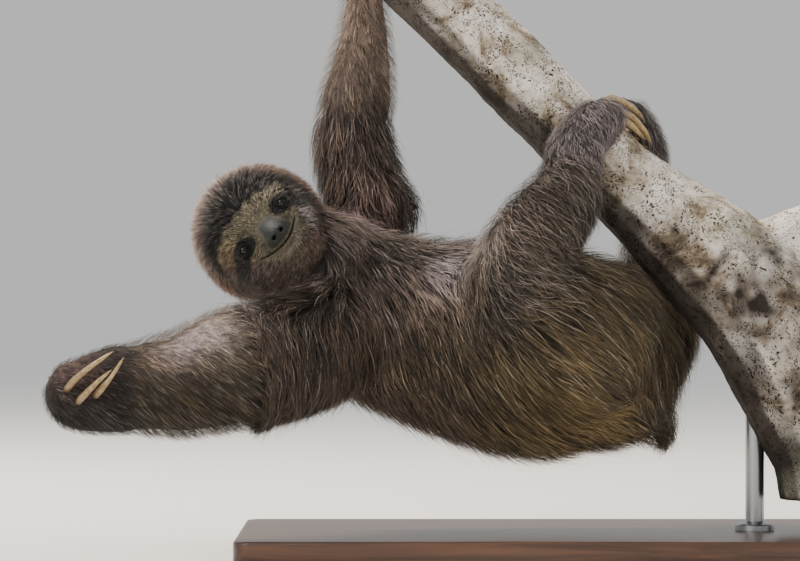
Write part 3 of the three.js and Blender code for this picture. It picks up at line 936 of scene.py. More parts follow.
def guide(root, reach):
    """Follow the comb over the skin: the places and normals below a hair of this reach."""
    at, up = [], []
    hit, _, face, _ = skin_tree.find_nearest(Vector(root))
    way = face_lie[face]
    for _ in range(STEPS + 1):
        at.append(hit)
        up.append(face_normal[face])
        way = way.lerp(face_lie[face], LEAN).normalized()
        hit, _, face, _ = skin_tree.find_nearest(hit + way * (reach / STEPS))
    return at, up


def guides(roots, reaches):
    """The guide hairs of some roots, as two arrays of points by steps by three."""
    both = [guide(root, reach) for root, reach in zip(roots, reaches)]
    return np.array([at for at, _ in both]), np.array([up for _, up in both])


def nearest_of(points, centres):
    """For each point, the number of the nearest centre."""
    tree = kdtree.KDTree(len(centres))
    for number, centre in enumerate(centres):
        tree.insert(centre, number)
    tree.balance()
    return np.array([tree.find(point)[1] for point in points])


print("steps of a guide hair:", STEPS)


# %% Roots
def unwrapped(chosen):
    """Unwrap the chosen faces to fill the square; gives every corner's place there."""
    if "coat_roots" not in skin.data.uv_layers:
        skin.data.uv_layers.new(name="coat_roots")
    skin.data.polygons.foreach_set("select", chosen)
    bpy.context.view_layer.objects.active = skin
    skin.select_set(True)
    bpy.ops.object.mode_set(mode="EDIT")
    bpy.ops.uv.smart_project(angle_limit=math.radians(66), island_margin=0.003)
    bpy.ops.object.mode_set(mode="OBJECT")
    return numbers(skin.data.uv_layers["coat_roots"].data, "uv", 2)


def triangles_of(chosen):
    """Each chosen face as triangles, given as rows of three corners."""
    start, size = face_start[chosen], face_size[chosen]
    fans = [np.stack([start, start + turn, start + turn + 1], axis=1)[size > turn + 1]
            for turn in (1, 2)]
    return np.concatenate(fans)


def scattered(corners, weight, count):
    """Random points over triangles: the triangle's corners and the share of each corner."""
    a, b, c = (places[loop_vertex[corners[:, k]]] for k in range(3))
    area = np.linalg.norm(np.cross(b - a, c - a), axis=1) * weight
    picked = rng.choice(len(corners), count, p=area / area.sum())
    share = rng.random((count, 2))
    share = np.where(share.sum(axis=1, keepdims=True) > 1, 1 - share, share)
    return corners[picked], np.concatenate([1 - share.sum(axis=1, keepdims=True), share], axis=1)


def blended(values, corners, shares):
    """Values at the corners, mixed by the corners' shares."""
    return (values[corners] * shares[:, :, None]).sum(axis=1)


print("roots can be scattered")


# %% One coat piece
# The side of a lock's patch on the map, how steeply a lock leaves the skin, how deep its root
# is sunk, how flat it is, how much its tip hangs, and the share of stray locks.
PATCH = 0.003
RISE = 1.9
SINK = 0.4 * MM
FLATNESS = 0.55
DROOP = 0.16
STRAY = 0.07


def lock_paths(root, facts, rings, clump):
    """The middle line of every lock: its points, and the way its width lies."""
    count = len(root)
    heads = rng.choice(count, max(2, count // clump), replace=False)
    member = nearest_of(root, root[heads])
    at, up = guides(root[heads], facts["length"][heads] * MM)
    share = np.linspace(0, 1, rings + 1)[None, :]
    own = facts["length"] / facts["length"][heads][member] * rng.uniform(0.7, 1.1, count)
    step = np.clip(share * own[:, None], 0, 1) * STEPS
    low = np.minimum(step.astype(int), STEPS - 1)
    part = (step - low)[:, :, None]
    below = at[member[:, None], low] * (1 - part) + at[member[:, None], low + 1] * part
    normal = unit(up[member[:, None], low] * (1 - part) + up[member[:, None], low + 1] * part)
    way = unit(np.gradient(below, axis=1) + 1e-9)
    side = unit(np.cross(normal, way))
    stand = rng.uniform(0.6, 1.12, count) + facts["stray"] * rng.uniform(0.2, 0.8, count)
    height = facts["depth"][:, None] * stand[:, None] * (1 - (1 - share) ** RISE)
    gather = facts["gather"][:, None] * share ** 1.3
    apart = (root - root[heads][member])[:, None, :] * (1 - gather)[:, :, None]
    turns = rng.uniform(0.35, 0.85, len(heads))[member]
    phase = rng.uniform(0, math.tau, len(heads))[member] + rng.normal(0, 0.9, count)
    swing = facts["curl"] * facts["length"] * 0.085 * rng.uniform(0.5, 1.5, count)
    wave = swing[:, None] * share * np.sin(math.tau * turns[:, None] * share + phase[:, None])
    roll = 0.5 * swing[:, None] * share * np.cos(math.tau * turns[:, None] * share + phase[:, None])
    tousle = facts["curl"] * facts["length"] * 0.2 * np.clip(rng.normal(size=count), -2, 2)
    wave += tousle[:, None] * share ** 1.6
    points = below + apart + side * (wave * MM)[:, :, None]
    points += normal * ((height + roll) * MM - SINK * (1 - share))[:, :, None]
    hang = np.maximum(-normal[:, :, 2], 0) * share ** 2 * facts["length"][:, None] * DROOP
    points[:, :, 2] -= hang * MM
    return points, side, member, len(heads)


def off_face(points):
    """The middle lines, with those that lie over the face drawn back towards their roots."""
    flat = points[:, 1:].reshape(-1, 3)
    near = np.linalg.norm(flat / MM - HEAD_AT, axis=1) < MARKS_REACH
    marks = face_marks(flat[near])
    over = np.zeros(len(flat))
    over[near] = np.maximum(marks["mask"], marks["jaw"])
    over = ease(0.25, 0.8, over.reshape(len(points), -1).max(axis=1))
    root = points[:, :1]
    return root + (points - root) * (1 - 0.65 * over)[:, None, None]


def spikes(points, side, width, rings):
    """The corners of every lock: rings of three, then the tip."""
    way = unit(np.gradient(points, axis=1) + 1e-9)
    side = unit(side - way * (side * way).sum(axis=2, keepdims=True))
    over = np.cross(way, side)
    share = np.linspace(0, 1, rings + 1)
    half = 0.5 * width[:, None] * (0.7 + 0.7 * share - 1.1 * share ** 2)[None, :rings] * MM
    half = half[:, :, None]
    base = points[:, :rings]
    ring = np.stack([
        base + side[:, :rings] * half,
        base + over[:, :rings] * half * FLATNESS,
        base - side[:, :rings] * half,
    ], axis=2)
    return np.concatenate([ring.reshape(len(points), rings * 3, 3), points[:, rings:]], axis=1)


def lock_faces(rings):
    """The faces of one lock and each corner's place in its small patch of the map."""
    loops, sizes, spots = [[0, 1, 2]], [3], [(-0.2, 0.0), (-0.2, 0.5), (0.0, 0.5)]
    for ring in range(rings - 1):
        for turn in range(3):
            near, far = ring * 3 + turn, ring * 3 + (turn + 1) % 3
            loops.append([near, near + 3, far + 3, far])
            sizes.append(4)
            low, high = ring / rings, (ring + 1) / rings
            spots += [(low, turn / 3), (high, turn / 3), (high, (turn + 1) / 3), (low, (turn + 1) / 3)]
    last = (rings - 1) * 3
    for turn in range(3):
        loops.append([last + turn, rings * 3, last + (turn + 1) % 3])
        sizes.append(3)
        low = (rings - 1) / rings
        spots += [(low, turn / 3), (1.0, (turn + 0.5) / 3), (low, (turn + 1) / 3)]
    return [corner for face in loops for corner in face], sizes, np.array(spots)


def coat_mesh(name, corners, rings, places_on_map):
    """One joined mesh of all the locks, with their map."""
    count, each = corners.shape[:2]
    loops, sizes, spots = lock_faces(rings)
    mesh = bpy.data.meshes.new(name)
    mesh.vertices.add(count * each)
    mesh.vertices.foreach_set("co", corners.astype(np.float32).ravel())
    whole = (np.arange(count)[:, None] * each + np.array(loops)[None, :]).ravel()
    mesh.loops.add(len(whole))
    mesh.loops.foreach_set("vertex_index", whole.astype(np.int32))
    starts = np.concatenate([[0], np.cumsum(np.tile(sizes, count))[:-1]])
    mesh.polygons.add(len(starts))
    mesh.polygons.foreach_set("loop_start", starts.astype(np.int32))
    mesh.update(calc_edges=True)
    mesh.shade_smooth()
    layer = mesh.uv_layers.new(name="OFBake")
    map_places = places_on_map[:, None, :] + spots[None, :, :] * PATCH
    layer.data.foreach_set("uv", map_places.astype(np.float32).ravel())
    return mesh


print("a long lock has", sum(size - 2 for size in lock_faces(3)[1]), "triangles")


# %% Hair finish
# Guard hair is grooved horn, so it is half dull, with a soft sheen in grazing light. Stains of
# about 6 mm break up its colour.
hair, tree, shader = finish("coarse_guard_hair", Roughness=0.48, IOR=1.5, Specular_IOR_Level=0.4,
                            Sheen_Weight=0.1, Sheen_Roughness=0.4)
spot = add(tree, "TexCoord")
tint = add(tree, "Attribute", attribute_name="coat_tint")
mottle = add(tree, "TexNoise", {"Scale": 160.0, "Detail": 4.0}, {"Vector": spot.outputs["Object"]})
shade = add(tree, "ValToRGB", {}, {"Fac": mottle.outputs["Fac"]},
            stops=[(0.3, "#cfcbc6"), (0.72, "#ffffff")])
colour = add(tree, "Mix", {0: 1.0}, {6: tint.outputs["Color"], 7: shade.outputs["Color"]},
             data_type="RGBA", blend_type="MULTIPLY")
tree.links.new(colour.outputs[2], shader.inputs["Base Color"])
print("hair finish:", hair.name)

# %% Grow a piece of the coat
QUICK_SHARE = 1.0
# Silver hairs are pale, and brightened past the coat's own colours as painted glints of light.
SILVER_GLINT = 0.8 * tone("#a29a96")
# The lightest a hair may be, its root's share of its colour, which is painted shade deep in the coat, and how
# its colour is mixed: the middle of the mix, and how much the clumps and the single locks differ from it.
BRIGHTEST = 0.8
ROOT_SHADE = 0.30
MIX_MIDDLE, MIX_CLUMPS, MIX_LOCKS = 0.40, 0.21, 0.32
triangle_total = 0


def grow(name, chosen, count, rings, clump, slot, shrink=None, tip=1.12, over_face=False):
    """Grow one piece of the coat over the chosen faces of the skin."""
    global triangle_total
    count = int(count * QUICK_SHARE)
    on_map = unwrapped(chosen)
    corners, shares = scattered(triangles_of(np.flatnonzero(chosen)), 1.0, count)
    vertex = loop_vertex[corners]
    root = blended(places, vertex, shares)
    values = np.stack([depth, length, width, curl, silver_glint], axis=1)
    kinds = ("depth", "length", "width", "curl", "silver_glint")
    facts = dict(zip(kinds, blended(values, vertex, shares).T))
    facts["gather"] = rng.uniform(0.2, 0.75, count) * (1 - 0.45 * np.minimum(facts["curl"], 1))
    facts["stray"] = (rng.random(count) < STRAY).astype(float)
    if shrink:
        shrink(root, facts)
    points, side, member, clumps = lock_paths(root, facts, rings, clump)
    if not over_face:
        points = off_face(points)
    pale = rng.random(count) < facts["silver_glint"]
    thin = np.where(facts["stray"] > 0, 0.6, np.where(pale, 0.8, 1.0))
    wide = facts["width"] * rng.uniform(0.65, 1.25, count) * thin
    mesh = coat_mesh(name, spikes(points, side, wide, rings), rings, blended(on_map, corners, shares))
    piece = bpy.data.objects.new(name, mesh)
    bpy.context.scene.collection.objects.link(piece)
    dark_base, light_base = blended(dark, vertex, shares), blended(light, vertex, shares)
    low, high = coat_colours(points[:, 1], *tinted(points[:, 1:].mean(axis=1), dark_base, light_base))
    mix = MIX_MIDDLE + MIX_CLUMPS * rng.normal(size=clumps)[member] + MIX_LOCKS * rng.normal(size=count)
    mix = np.clip(mix, 0, 1.15)[:, None]
    tones = np.where(pale[:, None], high * 1.2 + SILVER_GLINT, low * (1 - mix) + high * mix)
    brightest = tip(root) if callable(tip) else np.full(count, tip)
    # Each lock darkens towards its root as painted shade deep in the coat.
    paler = ease(0.0, 0.9, np.linspace(0, 1, rings + 1))
    fade = ROOT_SHADE + (brightest - ROOT_SHADE)[:, None] * paler
    fade = np.concatenate([np.repeat(fade[:, :rings], 3, axis=1), fade[:, rings:]], axis=1)
    tones = tones[:, None, :] * fade[:, :, None]
    tones *= np.minimum(1, BRIGHTEST / tones.max(axis=2, keepdims=True))
    paint(piece, "coat_tint", tones.reshape(-1, 3))
    mesh.materials.append(hair)
    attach(piece, "root")
    triangles = count * sum(size - 2 for size in lock_faces(rings)[1])
    triangle_total += triangles
    print(name, count, "locks,", triangles, "triangles")
    return piece


def belongs(*names):
    """The faces of the skin that belong to these flesh solids."""
    return np.isin(face_owner, [FLESH.index(name) for name in names])


print("share of the locks grown:", QUICK_SHARE)

# %% [markdown]
# ## The face's fur
#
# The fur of the face is a few millimetres long, finest beside the bare muzzle and on the
# lids, and longer towards the hood. None grows on the muzzle, on the lips or over the eyes.


# %% Face
def on_face(root, facts):
    """Shorter, finer locks near the eyes, the muzzle and the mouth."""
    local = in_head(root)
    eyes = np.minimum(almond(local, -1)[1], almond(local, 1)[1])
    mouth = np.abs(over_mouth(local))
    nose = ease(0, 9, np.hypot(local[:, 0] * 0.7, np.maximum(-3 - local[:, 1], 0) * 0.2) - 6)
    room = (1 - on_pad(local)) * ease(1.0, 3.6, eyes) * (0.3 + 0.7 * ease(0.5, 7, mouth))
    room = room * (0.35 + 0.65 * nose)
    edge = ease(20, 38, np.hypot(local[:, 0], local[:, 1]))
    facts["length"] = 1.4 + (3.6 + 3.6 * edge) * room
    facts["depth"] = 0.2 + facts["depth"] * 0.85 * room
    facts["width"] = 0.28 + 0.22 * room
    facts["curl"] = 0.25 * np.ones(len(root))


head_local = in_head(face_place)
lidless = np.minimum(almond(head_local, -1)[1], almond(head_local, 1)[1]) < 1.25
smooth_skin = (face_bare[:, 0] > 0.6) | (face_bare[:, 1] > 0.6) | (lidless & (head_local[:, 2] > 22))
is_head = belongs("head")
is_face = belongs("head", "neck") & (face_bare[:, 2] > 0.4)
grow("coat_face", is_face & ~smooth_skin, 15200, 2, 7, "face_coat", on_face, tip=1.2, over_face=True)

# %% [markdown]
# ## Hood, neck and body
#
# The body's locks are the long ones: each has three rings, so that it can bend and wave. The
# body is divided into pieces only to keep each mesh small. Neighbours overlap at their
# borders as real hair does, so no border shows.

# %% Hood and body
def on_hood(root, facts):
    """Shorter, flatter locks where the hood borders the mask and under the chin."""
    border = ease(0.95, 1.7, mask_ring(in_head(root)))
    facts["length"] *= 0.5 + 0.5 * border
    facts["depth"] *= 0.75 + 0.25 * border


def hood_rim_light_tips(root):
    """Pale tips on the outer rim of the hood as painted rim light, and none on its dark inner band."""
    return 1.0 + 0.9 * face_marks(root)["rim"]


grow("coat_hood", is_head & ~is_face, 14200, 2, 7, "coat", on_hood, tip=hood_rim_light_tips)
grow("coat_neck", belongs("neck") & ~is_face, 6000, 3, 8, "coat")
grow("coat_chest", belongs("trunk_front"), 11000, 3, 8, "coat")
grow("coat_loin", belongs("trunk_rear", "tail"), 11000, 3, 8, "coat")

# %% Arms and legs
for side, arms, legs in (("right", 11500, 11300), ("left", 7200, 5900)):
    arm = belongs(f"{side}_upper_arm", f"{side}_forearm")
    leg = belongs(f"{side}_thigh", f"{side}_shank")
    grow(f"coat_{side}_arm", arm, arms, 3, 8, "coat")
    grow(f"coat_{side}_leg", leg, legs, 3, 8, "coat")

# %% Hands and feet
def about_claws(root, facts):
    """Locks that stand up round the roots of the claws."""
    close = near_claws(root) ** 0.4
    facts["depth"] += 5.0 * close
    facts["length"] *= 1 + 0.4 * close


for side, hands, feet in (("right", 3600, 5200), ("left", 2200, 2600)):
    grow(f"coat_{side}_hand", belongs(f"{side}_hand"), hands, 2, 6, "dark_coat", about_claws)
    grow(f"coat_{side}_foot", belongs(f"{side}_foot"), feet, 3, 4, "dark_coat", about_claws)
skin.data.uv_layers.remove(skin.data.uv_layers["coat_roots"])
print("triangles of the coat:", triangle_total)

# %% [markdown]
# ## Eyes
#
# A sloth's eye is a small dark ball with a bulge in front. It could be one sphere, but the
# bulge is what gathers the light into one bright point, so the front is drawn out a little.
# The iris is a dark brown ring about a blacker middle.


# %% Eyeballs
def eyeball(side, number, paint_with):
    """One eye: a ball about its own axis, with a bulge in front."""
    bm = bmesh.new()
    bmesh.ops.create_uvsphere(bm, u_segments=40, v_segments=24, radius=EYE["radius"])
    for vert in bm.verts:
        vert.co.z += 2.6 * max(0.0, vert.co.z / EYE["radius"] - 0.72)
    rims = np.array([math.hypot(vert.co.x, vert.co.y) if vert.co.z > 0 else 9.0 for vert in bm.verts])
    spots = np.array([vert.co for vert in bm.verts])
    middle = np.array([number * EYE["apart"] / 2, EYE["up"], EYE["forward"]])
    for vert, place in zip(bm.verts, from_head(spots + middle)):
        vert.co = place
    bmesh.ops.recalc_face_normals(bm, faces=bm.faces)
    ball = made_object(f"{side}_eyeball", bm, paint_with)
    iris = ease(1.7, 2.1, rims)[:, None] * (1 - ease(3.6, 4.4, rims))[:, None]
    paint(ball, "iris_tint", tone("#070505") * (1 - iris) + tone("#170f0c") * iris)
    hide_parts(f"{side}_eye")
    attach(ball, "root")


# A wet eye is smooth and dark, so it shows little but one sharp point of light.
wet, tree, shader = finish("wet_eye", Roughness=0.08, IOR=1.36, Coat_Weight=0.12, Coat_Roughness=0.04)
iris_tint = add(tree, "Attribute", attribute_name="iris_tint")
tree.links.new(iris_tint.outputs["Color"], shader.inputs["Base Color"])
eyeball("right", -1, wet)
eyeball("left", 1, wet)
print("eyes set", EYE["apart"], "mm apart")

# %% [markdown]
# ## Claws
#
# The claws are amber horn with a faint mottle, dark at the root and, on the toes, at the tip.
# The solids already have their curve, only with flat facets. A subdivision surface would keep
# the uneven spacing of those facets as beads, so a copy of each is remeshed in an even net
# and smoothed, after growing a little to make up for what smoothing takes off.
#
# The claws of the reaching hand lie back along it. Left as they are, their roots would stand
# free of the palm, so the length next to the root is bent into it.


# %% Horn
# Horn grows in layers and is polished by use, so it is satin and warm in colour. Its real
# streaks are finer than the render can show, so a mottle of about 2.4 mm stands for them.
horn, tree, shader = finish("claw_horn", Roughness=0.32, IOR=1.54, Coat_Weight=0.25, Coat_Roughness=0.2)
spot = add(tree, "TexCoord")
along = add(tree, "Attribute", attribute_name="along")
ramp = add(tree, "ValToRGB", {}, {"Fac": along.outputs["Fac"]},
           stops=[(0.0, "#57472f"), (0.2, "#8b744b"), (0.5, "#b39a69"), (0.7, "#b59a6a"), (0.95, "#5d4530")])
streak = add(tree, "TexNoise", {"Scale": 420.0, "Detail": 4.0, "Distortion": 0.6},
             {"Vector": spot.outputs["Object"]})
shade = add(tree, "ValToRGB", {}, {"Fac": streak.outputs["Fac"]},
            stops=[(0.3, "#b9a68c"), (0.62, "#ffffff")])
colour = add(tree, "Mix", {0: 1.0}, {6: ramp.outputs["Color"], 7: shade.outputs["Color"]},
             data_type="RGBA", blend_type="MULTIPLY")
tree.links.new(colour.outputs[2], shader.inputs["Base Color"])
ridge = add(tree, "Bump", {"Strength": 0.3, "Distance": 0.2 * MM}, {"Height": streak.outputs["Fac"]})
tree.links.new(ridge.outputs["Normal"], shader.inputs["Normal"])
print("horn ready")


# %% Claws
CLAW_NET = 0.6 * MM
CLAW_GROWN = {"finger": 0.25 * MM, "toe": 0.55 * MM}
# How far along the ramp of colours a claw goes; only the toes reach its dark end.
DARK_TIP = {"finger": 0.72, "toe": 1.0}
# The curled claws' roots turn into the palm: over how much of the claw, and how far.
TURNED_DOWN = {"over": 17 * MM, "by": 9 * MM}


def smooth_claw(node, root_node):
    """A rounded claw in place of a faceted one, with its length stored from root to tip."""
    side, kind = node.split("_")[:2]
    mesh = modified(
        copied([node], CLAW_GROWN[kind]),
        ("REMESH", {"mode": "VOXEL", "voxel_size": CLAW_NET}),
        ("SMOOTH", {"factor": 0.5, "iterations": 12}),
    )
    mesh.shade_smooth()
    piece = bpy.data.objects.new(node.replace("_claw", "_horn"), mesh)
    bpy.context.scene.collection.objects.link(piece)
    low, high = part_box(root_node)
    spots = numbers(mesh.vertices, "co")
    far = np.linalg.norm(spots - np.array((low + high) / 2), axis=1)
    root = spots[far.argmin()]
    if (side, kind) == CURLED:
        root = spots[spots[:, 0].argmin()]
        near = 1 - ease(0, TURNED_DOWN["over"], np.linalg.norm(spots - root, axis=1))
        mesh.vertices.foreach_set("co", (spots + [[0, TURNED_DOWN["by"], 0]] * near[:, None]).ravel())
    far = np.linalg.norm(spots - root, axis=1)
    layer = mesh.attributes.new("along", "FLOAT", "POINT")
    layer.data.foreach_set("value", (far / far.max() * DARK_TIP[kind]).astype(np.float32))
    mesh.materials.append(horn)
    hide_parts(node)
    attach(piece, "root")


for side in SIDES:
    for finger in (1, 2, 3):
        smooth_claw(f"{side}_finger_claw_{finger}", f"{side}_hand")
        smooth_claw(f"{side}_toe_claw_{finger}", f"{side}_foot")
print("claws: 12")

# %% [markdown]
# ## The branch
#
# The perch is a forked limb of a smooth-barked tree: pale grey, freckled with small dark
# pores, stained brown and green in patches, and cracked at the fork. The bark's lumps could
# be bump alone, but they show on its outline, so the net of the branch is really displaced.
# Its sawn ends are left flat and get a finish of their own.


# %% Bark and cut wood
# Smooth bark is a thin dry skin, so it is matt and pale, and every pore and stain shows.
# Its pores are specks about 1.6, 3 and 7 mm apart. Each row: the specks' scale, how far their
# dark middle and their rim reach, then the scale and the two levels of the noise that lets
# them show. Sawn end grain is rough, so it is dull, with saw marks about 1 mm apart.
SPECKS = [
    (620.0, 0.26, 0.46, 110.0, 0.42, 0.56),
    (330.0, 0.22, 0.38, 60.0, 0.42, 0.55),
    (150.0, 0.14, 0.25, 34.0, 0.44, 0.58),
]


def bark_finish():
    """Smooth grey bark: stains, three sizes of dark specks, and painted shade in dark brown on its underside,
    in its creases and on listed patches.
    """
    bark, tree, shader = finish("smooth_grey_bark", Roughness=0.8, IOR=1.45)
    place = add(tree, "TexCoord").outputs["Object"]
    drift = add(tree, "TexNoise", {"Scale": 60.0, "Detail": 4.0}, {"Vector": place})
    moved = add(tree, "Mix", {0: 0.02}, {6: place, 7: drift.outputs["Color"]}, data_type="RGBA",
                blend_type="ADD").outputs[2]
    stains = add(tree, "TexNoise", {"Scale": 24.0, "Detail": 9.0, "Roughness": 0.7, "Distortion": 0.5},
                 {"Vector": place})
    base = add(tree, "ValToRGB", {}, {"Fac": stains.outputs["Fac"]},
               stops=[(0.34, "#4f4132"), (0.42, "#8c7b65"), (0.49, "#cabead"), (0.58, "#ece3d7"),
                      (0.72, "#f8f1e8")])
    rust = add(tree, "TexNoise", {"Scale": 13.0, "Detail": 7.0, "Roughness": 0.65, "Distortion": 1.2},
               {"Vector": place})
    where_rust = add(tree, "ValToRGB", {}, {"Fac": rust.outputs["Fac"]},
                     stops=[(0.55, "#000000"), (0.68, "#d0d0d0")])
    rusty = add(tree, "Mix", {7: linear("#6f5034")},
                {0: where_rust.outputs["Color"], 6: base.outputs["Color"]},
                data_type="RGBA", blend_type="MIX")
    moss = add(tree, "TexNoise", {"Scale": 9.0, "Detail": 6.0, "Distortion": 0.8}, {"Vector": place})
    where_moss = add(tree, "ValToRGB", {}, {"Fac": moss.outputs["Fac"]},
                     stops=[(0.54, "#000000"), (0.66, "#b0b0b0")])
    mossy = add(tree, "Mix", {7: linear("#7d7f69")}, {0: where_moss.outputs["Color"], 6: rusty.outputs[2]},
                data_type="RGBA", blend_type="MIX")
    tone_now = mossy.outputs[2]
    for scale, core, edge, gate_scale, low, high in SPECKS:
        cell = add(tree, "TexVoronoi", {"Scale": scale, "Randomness": 1.0}, {"Vector": moved})
        speck = add(tree, "ValToRGB", {}, {"Fac": cell.outputs["Distance"]},
                    stops=[(core, "#ffffff"), (edge, "#000000")])
        few = add(tree, "TexNoise", {"Scale": gate_scale, "Detail": 3.0}, {"Vector": place})
        gate = add(tree, "ValToRGB", {}, {"Fac": few.outputs["Fac"]},
                   stops=[(low, "#000000"), (high, "#ffffff")])
        shown = add(tree, "Mix", {0: 1.0}, {6: speck.outputs["Color"], 7: gate.outputs["Color"]},
                    data_type="RGBA", blend_type="MULTIPLY")
        darker = add(tree, "Mix", {7: linear("#2b2119")}, {0: shown.outputs[2], 6: tone_now},
                     data_type="RGBA", blend_type="MIX")
        tone_now = darker.outputs[2]
    # Painted shade and stain: the bark is multiplied towards dark brown on its shaded underside, in its
    # creases and on the listed patches.
    shade_and_stain = add(tree, "Attribute", attribute_name="shade_and_stain")
    shaded_and_stained_bark = add(tree, "Mix", {7: linear("#30261d")}, {0: shade_and_stain.outputs["Fac"], 6: tone_now},
                   data_type="RGBA", blend_type="MULTIPLY")
    tree.links.new(shaded_and_stained_bark.outputs[2], shader.inputs["Base Color"])
    grain = add(tree, "TexNoise", {"Scale": 380.0, "Detail": 8.0, "Roughness": 0.68}, {"Vector": place})
    rough = add(tree, "Bump", {"Strength": 0.55, "Distance": 0.7 * MM}, {"Height": grain.outputs["Fac"]})
    flaky = add(tree, "Bump", {"Strength": 0.5, "Distance": 1.6 * MM},
                {"Height": stains.outputs["Fac"], "Normal": rough.outputs["Normal"]})
    pitted = add(tree, "Bump", {"Strength": 0.5, "Distance": 0.8 * MM},
                 {"Height": shown.outputs[2], "Normal": flaky.outputs["Normal"]})
    pitted.invert = True
    tree.links.new(pitted.outputs["Normal"], shader.inputs["Normal"])
    return bark


def cut_finish():
    """A sawn end of pale wood: its cloudy grain, and saw marks."""
    cut, tree, shader = finish("sawn_end_grain", Roughness=0.8, IOR=1.5)
    spot = add(tree, "TexCoord")
    grain = add(tree, "TexNoise", {"Scale": 260.0, "Detail": 6.0}, {"Vector": spot.outputs["Object"]})
    base = add(tree, "ValToRGB", {}, {"Fac": grain.outputs["Fac"]},
               stops=[(0.3, "#9a7c53"), (0.7, "#c9ad7f")])
    tree.links.new(base.outputs["Color"], shader.inputs["Base Color"])
    saw = add(tree, "TexWave", {"Scale": 330.0, "Distortion": 2.0}, {"Vector": spot.outputs["Object"]})
    marks = add(tree, "Bump", {"Strength": 0.3, "Distance": 0.3 * MM}, {"Height": saw.outputs["Fac"]})
    tree.links.new(marks.outputs["Normal"], shader.inputs["Normal"])
    return cut


bark, cut = bark_finish(), cut_finish()
print("branch finishes:", bark.name, cut.name)

# %% The branch's net
BARK_NET = 1.7 * MM
SAWN = [
    (Vector((-0.170, 0.031, 0.500)), Vector((-0.70, 0.07, 0.71)).normalized()),
    (Vector((0.218, 0.018, 0.249)), Vector((0.907, 0.162, 0.389)).normalized()),
    (Vector((0.208, -0.020, 0.040)), Vector((0.0, 0.0, -1.0))),
]
# Creases and hollows of the bark: two ends, reach and depth, all in mm.
CREASES = [
    ((157, -44, 244), (186, -40, 218), 7, 3.0),
    ((125, -48, 221), (104, -52, 197), 5, 1.6),
    ((133, -58, 189), (136, -58, 180), 10, 2.2),
    ((60, -40, 262), (74, -44, 250), 6, 1.2),
]
KNOT = {"place": (126, -38, 250), "reach": 13.0, "high": 3.0}
# Patches painted darker on the bark, mostly painted shade on the fork's shaded side, in its hollow, under the
# claws and on the lower stem, with some brown stain: place and reach in mm, and how dark they are.
SHADE_AND_STAIN_PATCHES = [
    ((162, -45, 228), 26, 0.75),
    ((127, -55, 178), 13, 0.85),
    ((142, -55, 184), 32, 1.00),
    ((44, -8, 332), 13, 0.95),
    ((88, -48, 236), 15, 0.45),
    ((172, -50, 80), 44, 0.55),
    ((118, -55, 130), 18, 0.35),
    ((172, -50, 222), 26, 0.85),
    ((182, -52, 190), 22, 0.60),
    ((184, -55, 158), 20, 0.65),
    ((186, -55, 122), 24, 0.85),
    ((200, -45, 246), 26, 0.75),
]
SHADED_WAY = Vector((-0.6, 0.0, -0.8))


def off_line(place, low, high):
    """How far, in mm, a place is from the straight line between two others."""
    low, high = Vector(low), Vector(high)
    share = (place / MM - low).dot(high - low) / (high - low).length_squared
    return (place / MM - low.lerp(high, min(max(share, 0.0), 1.0))).length


def creased(place):
    """How much of a crease runs through a place, from 0 to 1, and how deep it is there in mm."""
    deep = [(math.exp(-(off_line(place, low, high) / reach) ** 2), press)
            for low, high, reach, press in CREASES]
    return max(share for share, _ in deep), sum(share * press for share, press in deep)


def bark_lumps(place):
    """How far the bark stands out at a place: swellings, ripples and flakes."""
    swelling = noise.noise(place * 22) * 1.5
    ripple = noise.noise(place * 70) * 0.7
    flake = noise.noise(place * 260) * 0.35
    off_knot = (place / MM - Vector(KNOT["place"])).length / KNOT["reach"]
    knot = KNOT["high"] * math.exp(-off_knot ** 2)
    return (swelling + ripple + flake + knot - creased(place)[1]) * MM


def branch_piece():
    """The branch as one fine net, displaced where there is bark and flat where it is sawn."""
    mesh = modified(
        copied(["branch"]),
        ("REMESH", {"mode": "VOXEL", "voxel_size": BARK_NET}),
        ("SMOOTH", {"factor": 0.5, "iterations": 5}),
    )
    bm = bmesh.new()
    bm.from_mesh(mesh)
    bm.normal_update()
    for face in bm.faces:
        middle = face.calc_center_median()
        for end, way in SAWN:
            if (middle - end).length < 50 * MM and face.normal.dot(way) > 0.93:
                face.material_index = 1
    shade_and_stain = []
    for vert in bm.verts:
        # Painted shade: the side of the branch turned away from the light, its creases and the listed patches
        # are stored as darker.
        under = 0.95 * float(ease(0.08, 0.72, vert.normal.dot(SHADED_WAY) + 0.3 * noise.noise(vert.co * 30)))
        patches = [strong * math.exp(-((vert.co / MM - Vector(centre)).length / reach) ** 2)
                   for centre, reach, strong in SHADE_AND_STAIN_PATCHES]
        patch_shade_and_stain = max(patches) * (1 + 0.8 * noise.noise(vert.co * 90))
        shade_and_stain.append(max(under, creased(vert.co)[0], patch_shade_and_stain))
        if not any(face.material_index for face in vert.link_faces):
            vert.co += vert.normal * bark_lumps(vert.co)
    piece = made_object("forked_branch", bm, bark, cut)
    layer = piece.data.attributes.new("shade_and_stain", "FLOAT", "POINT")
    layer.data.foreach_set("value", shade_and_stain)
    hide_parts("branch")
    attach(piece, "root")
    return piece


branch = branch_piece()
print("branch:", len(branch.data.polygons), "squares")

# %% [markdown]
# ## The stand
#
# A display stand is meant not to be looked at: a lacquered board and two bright rods. The
# board is a box whose corners are beveled round and whose edges are eased. Each rod gets a
# turned collar where it enters the board, as a real one is set in a socket.

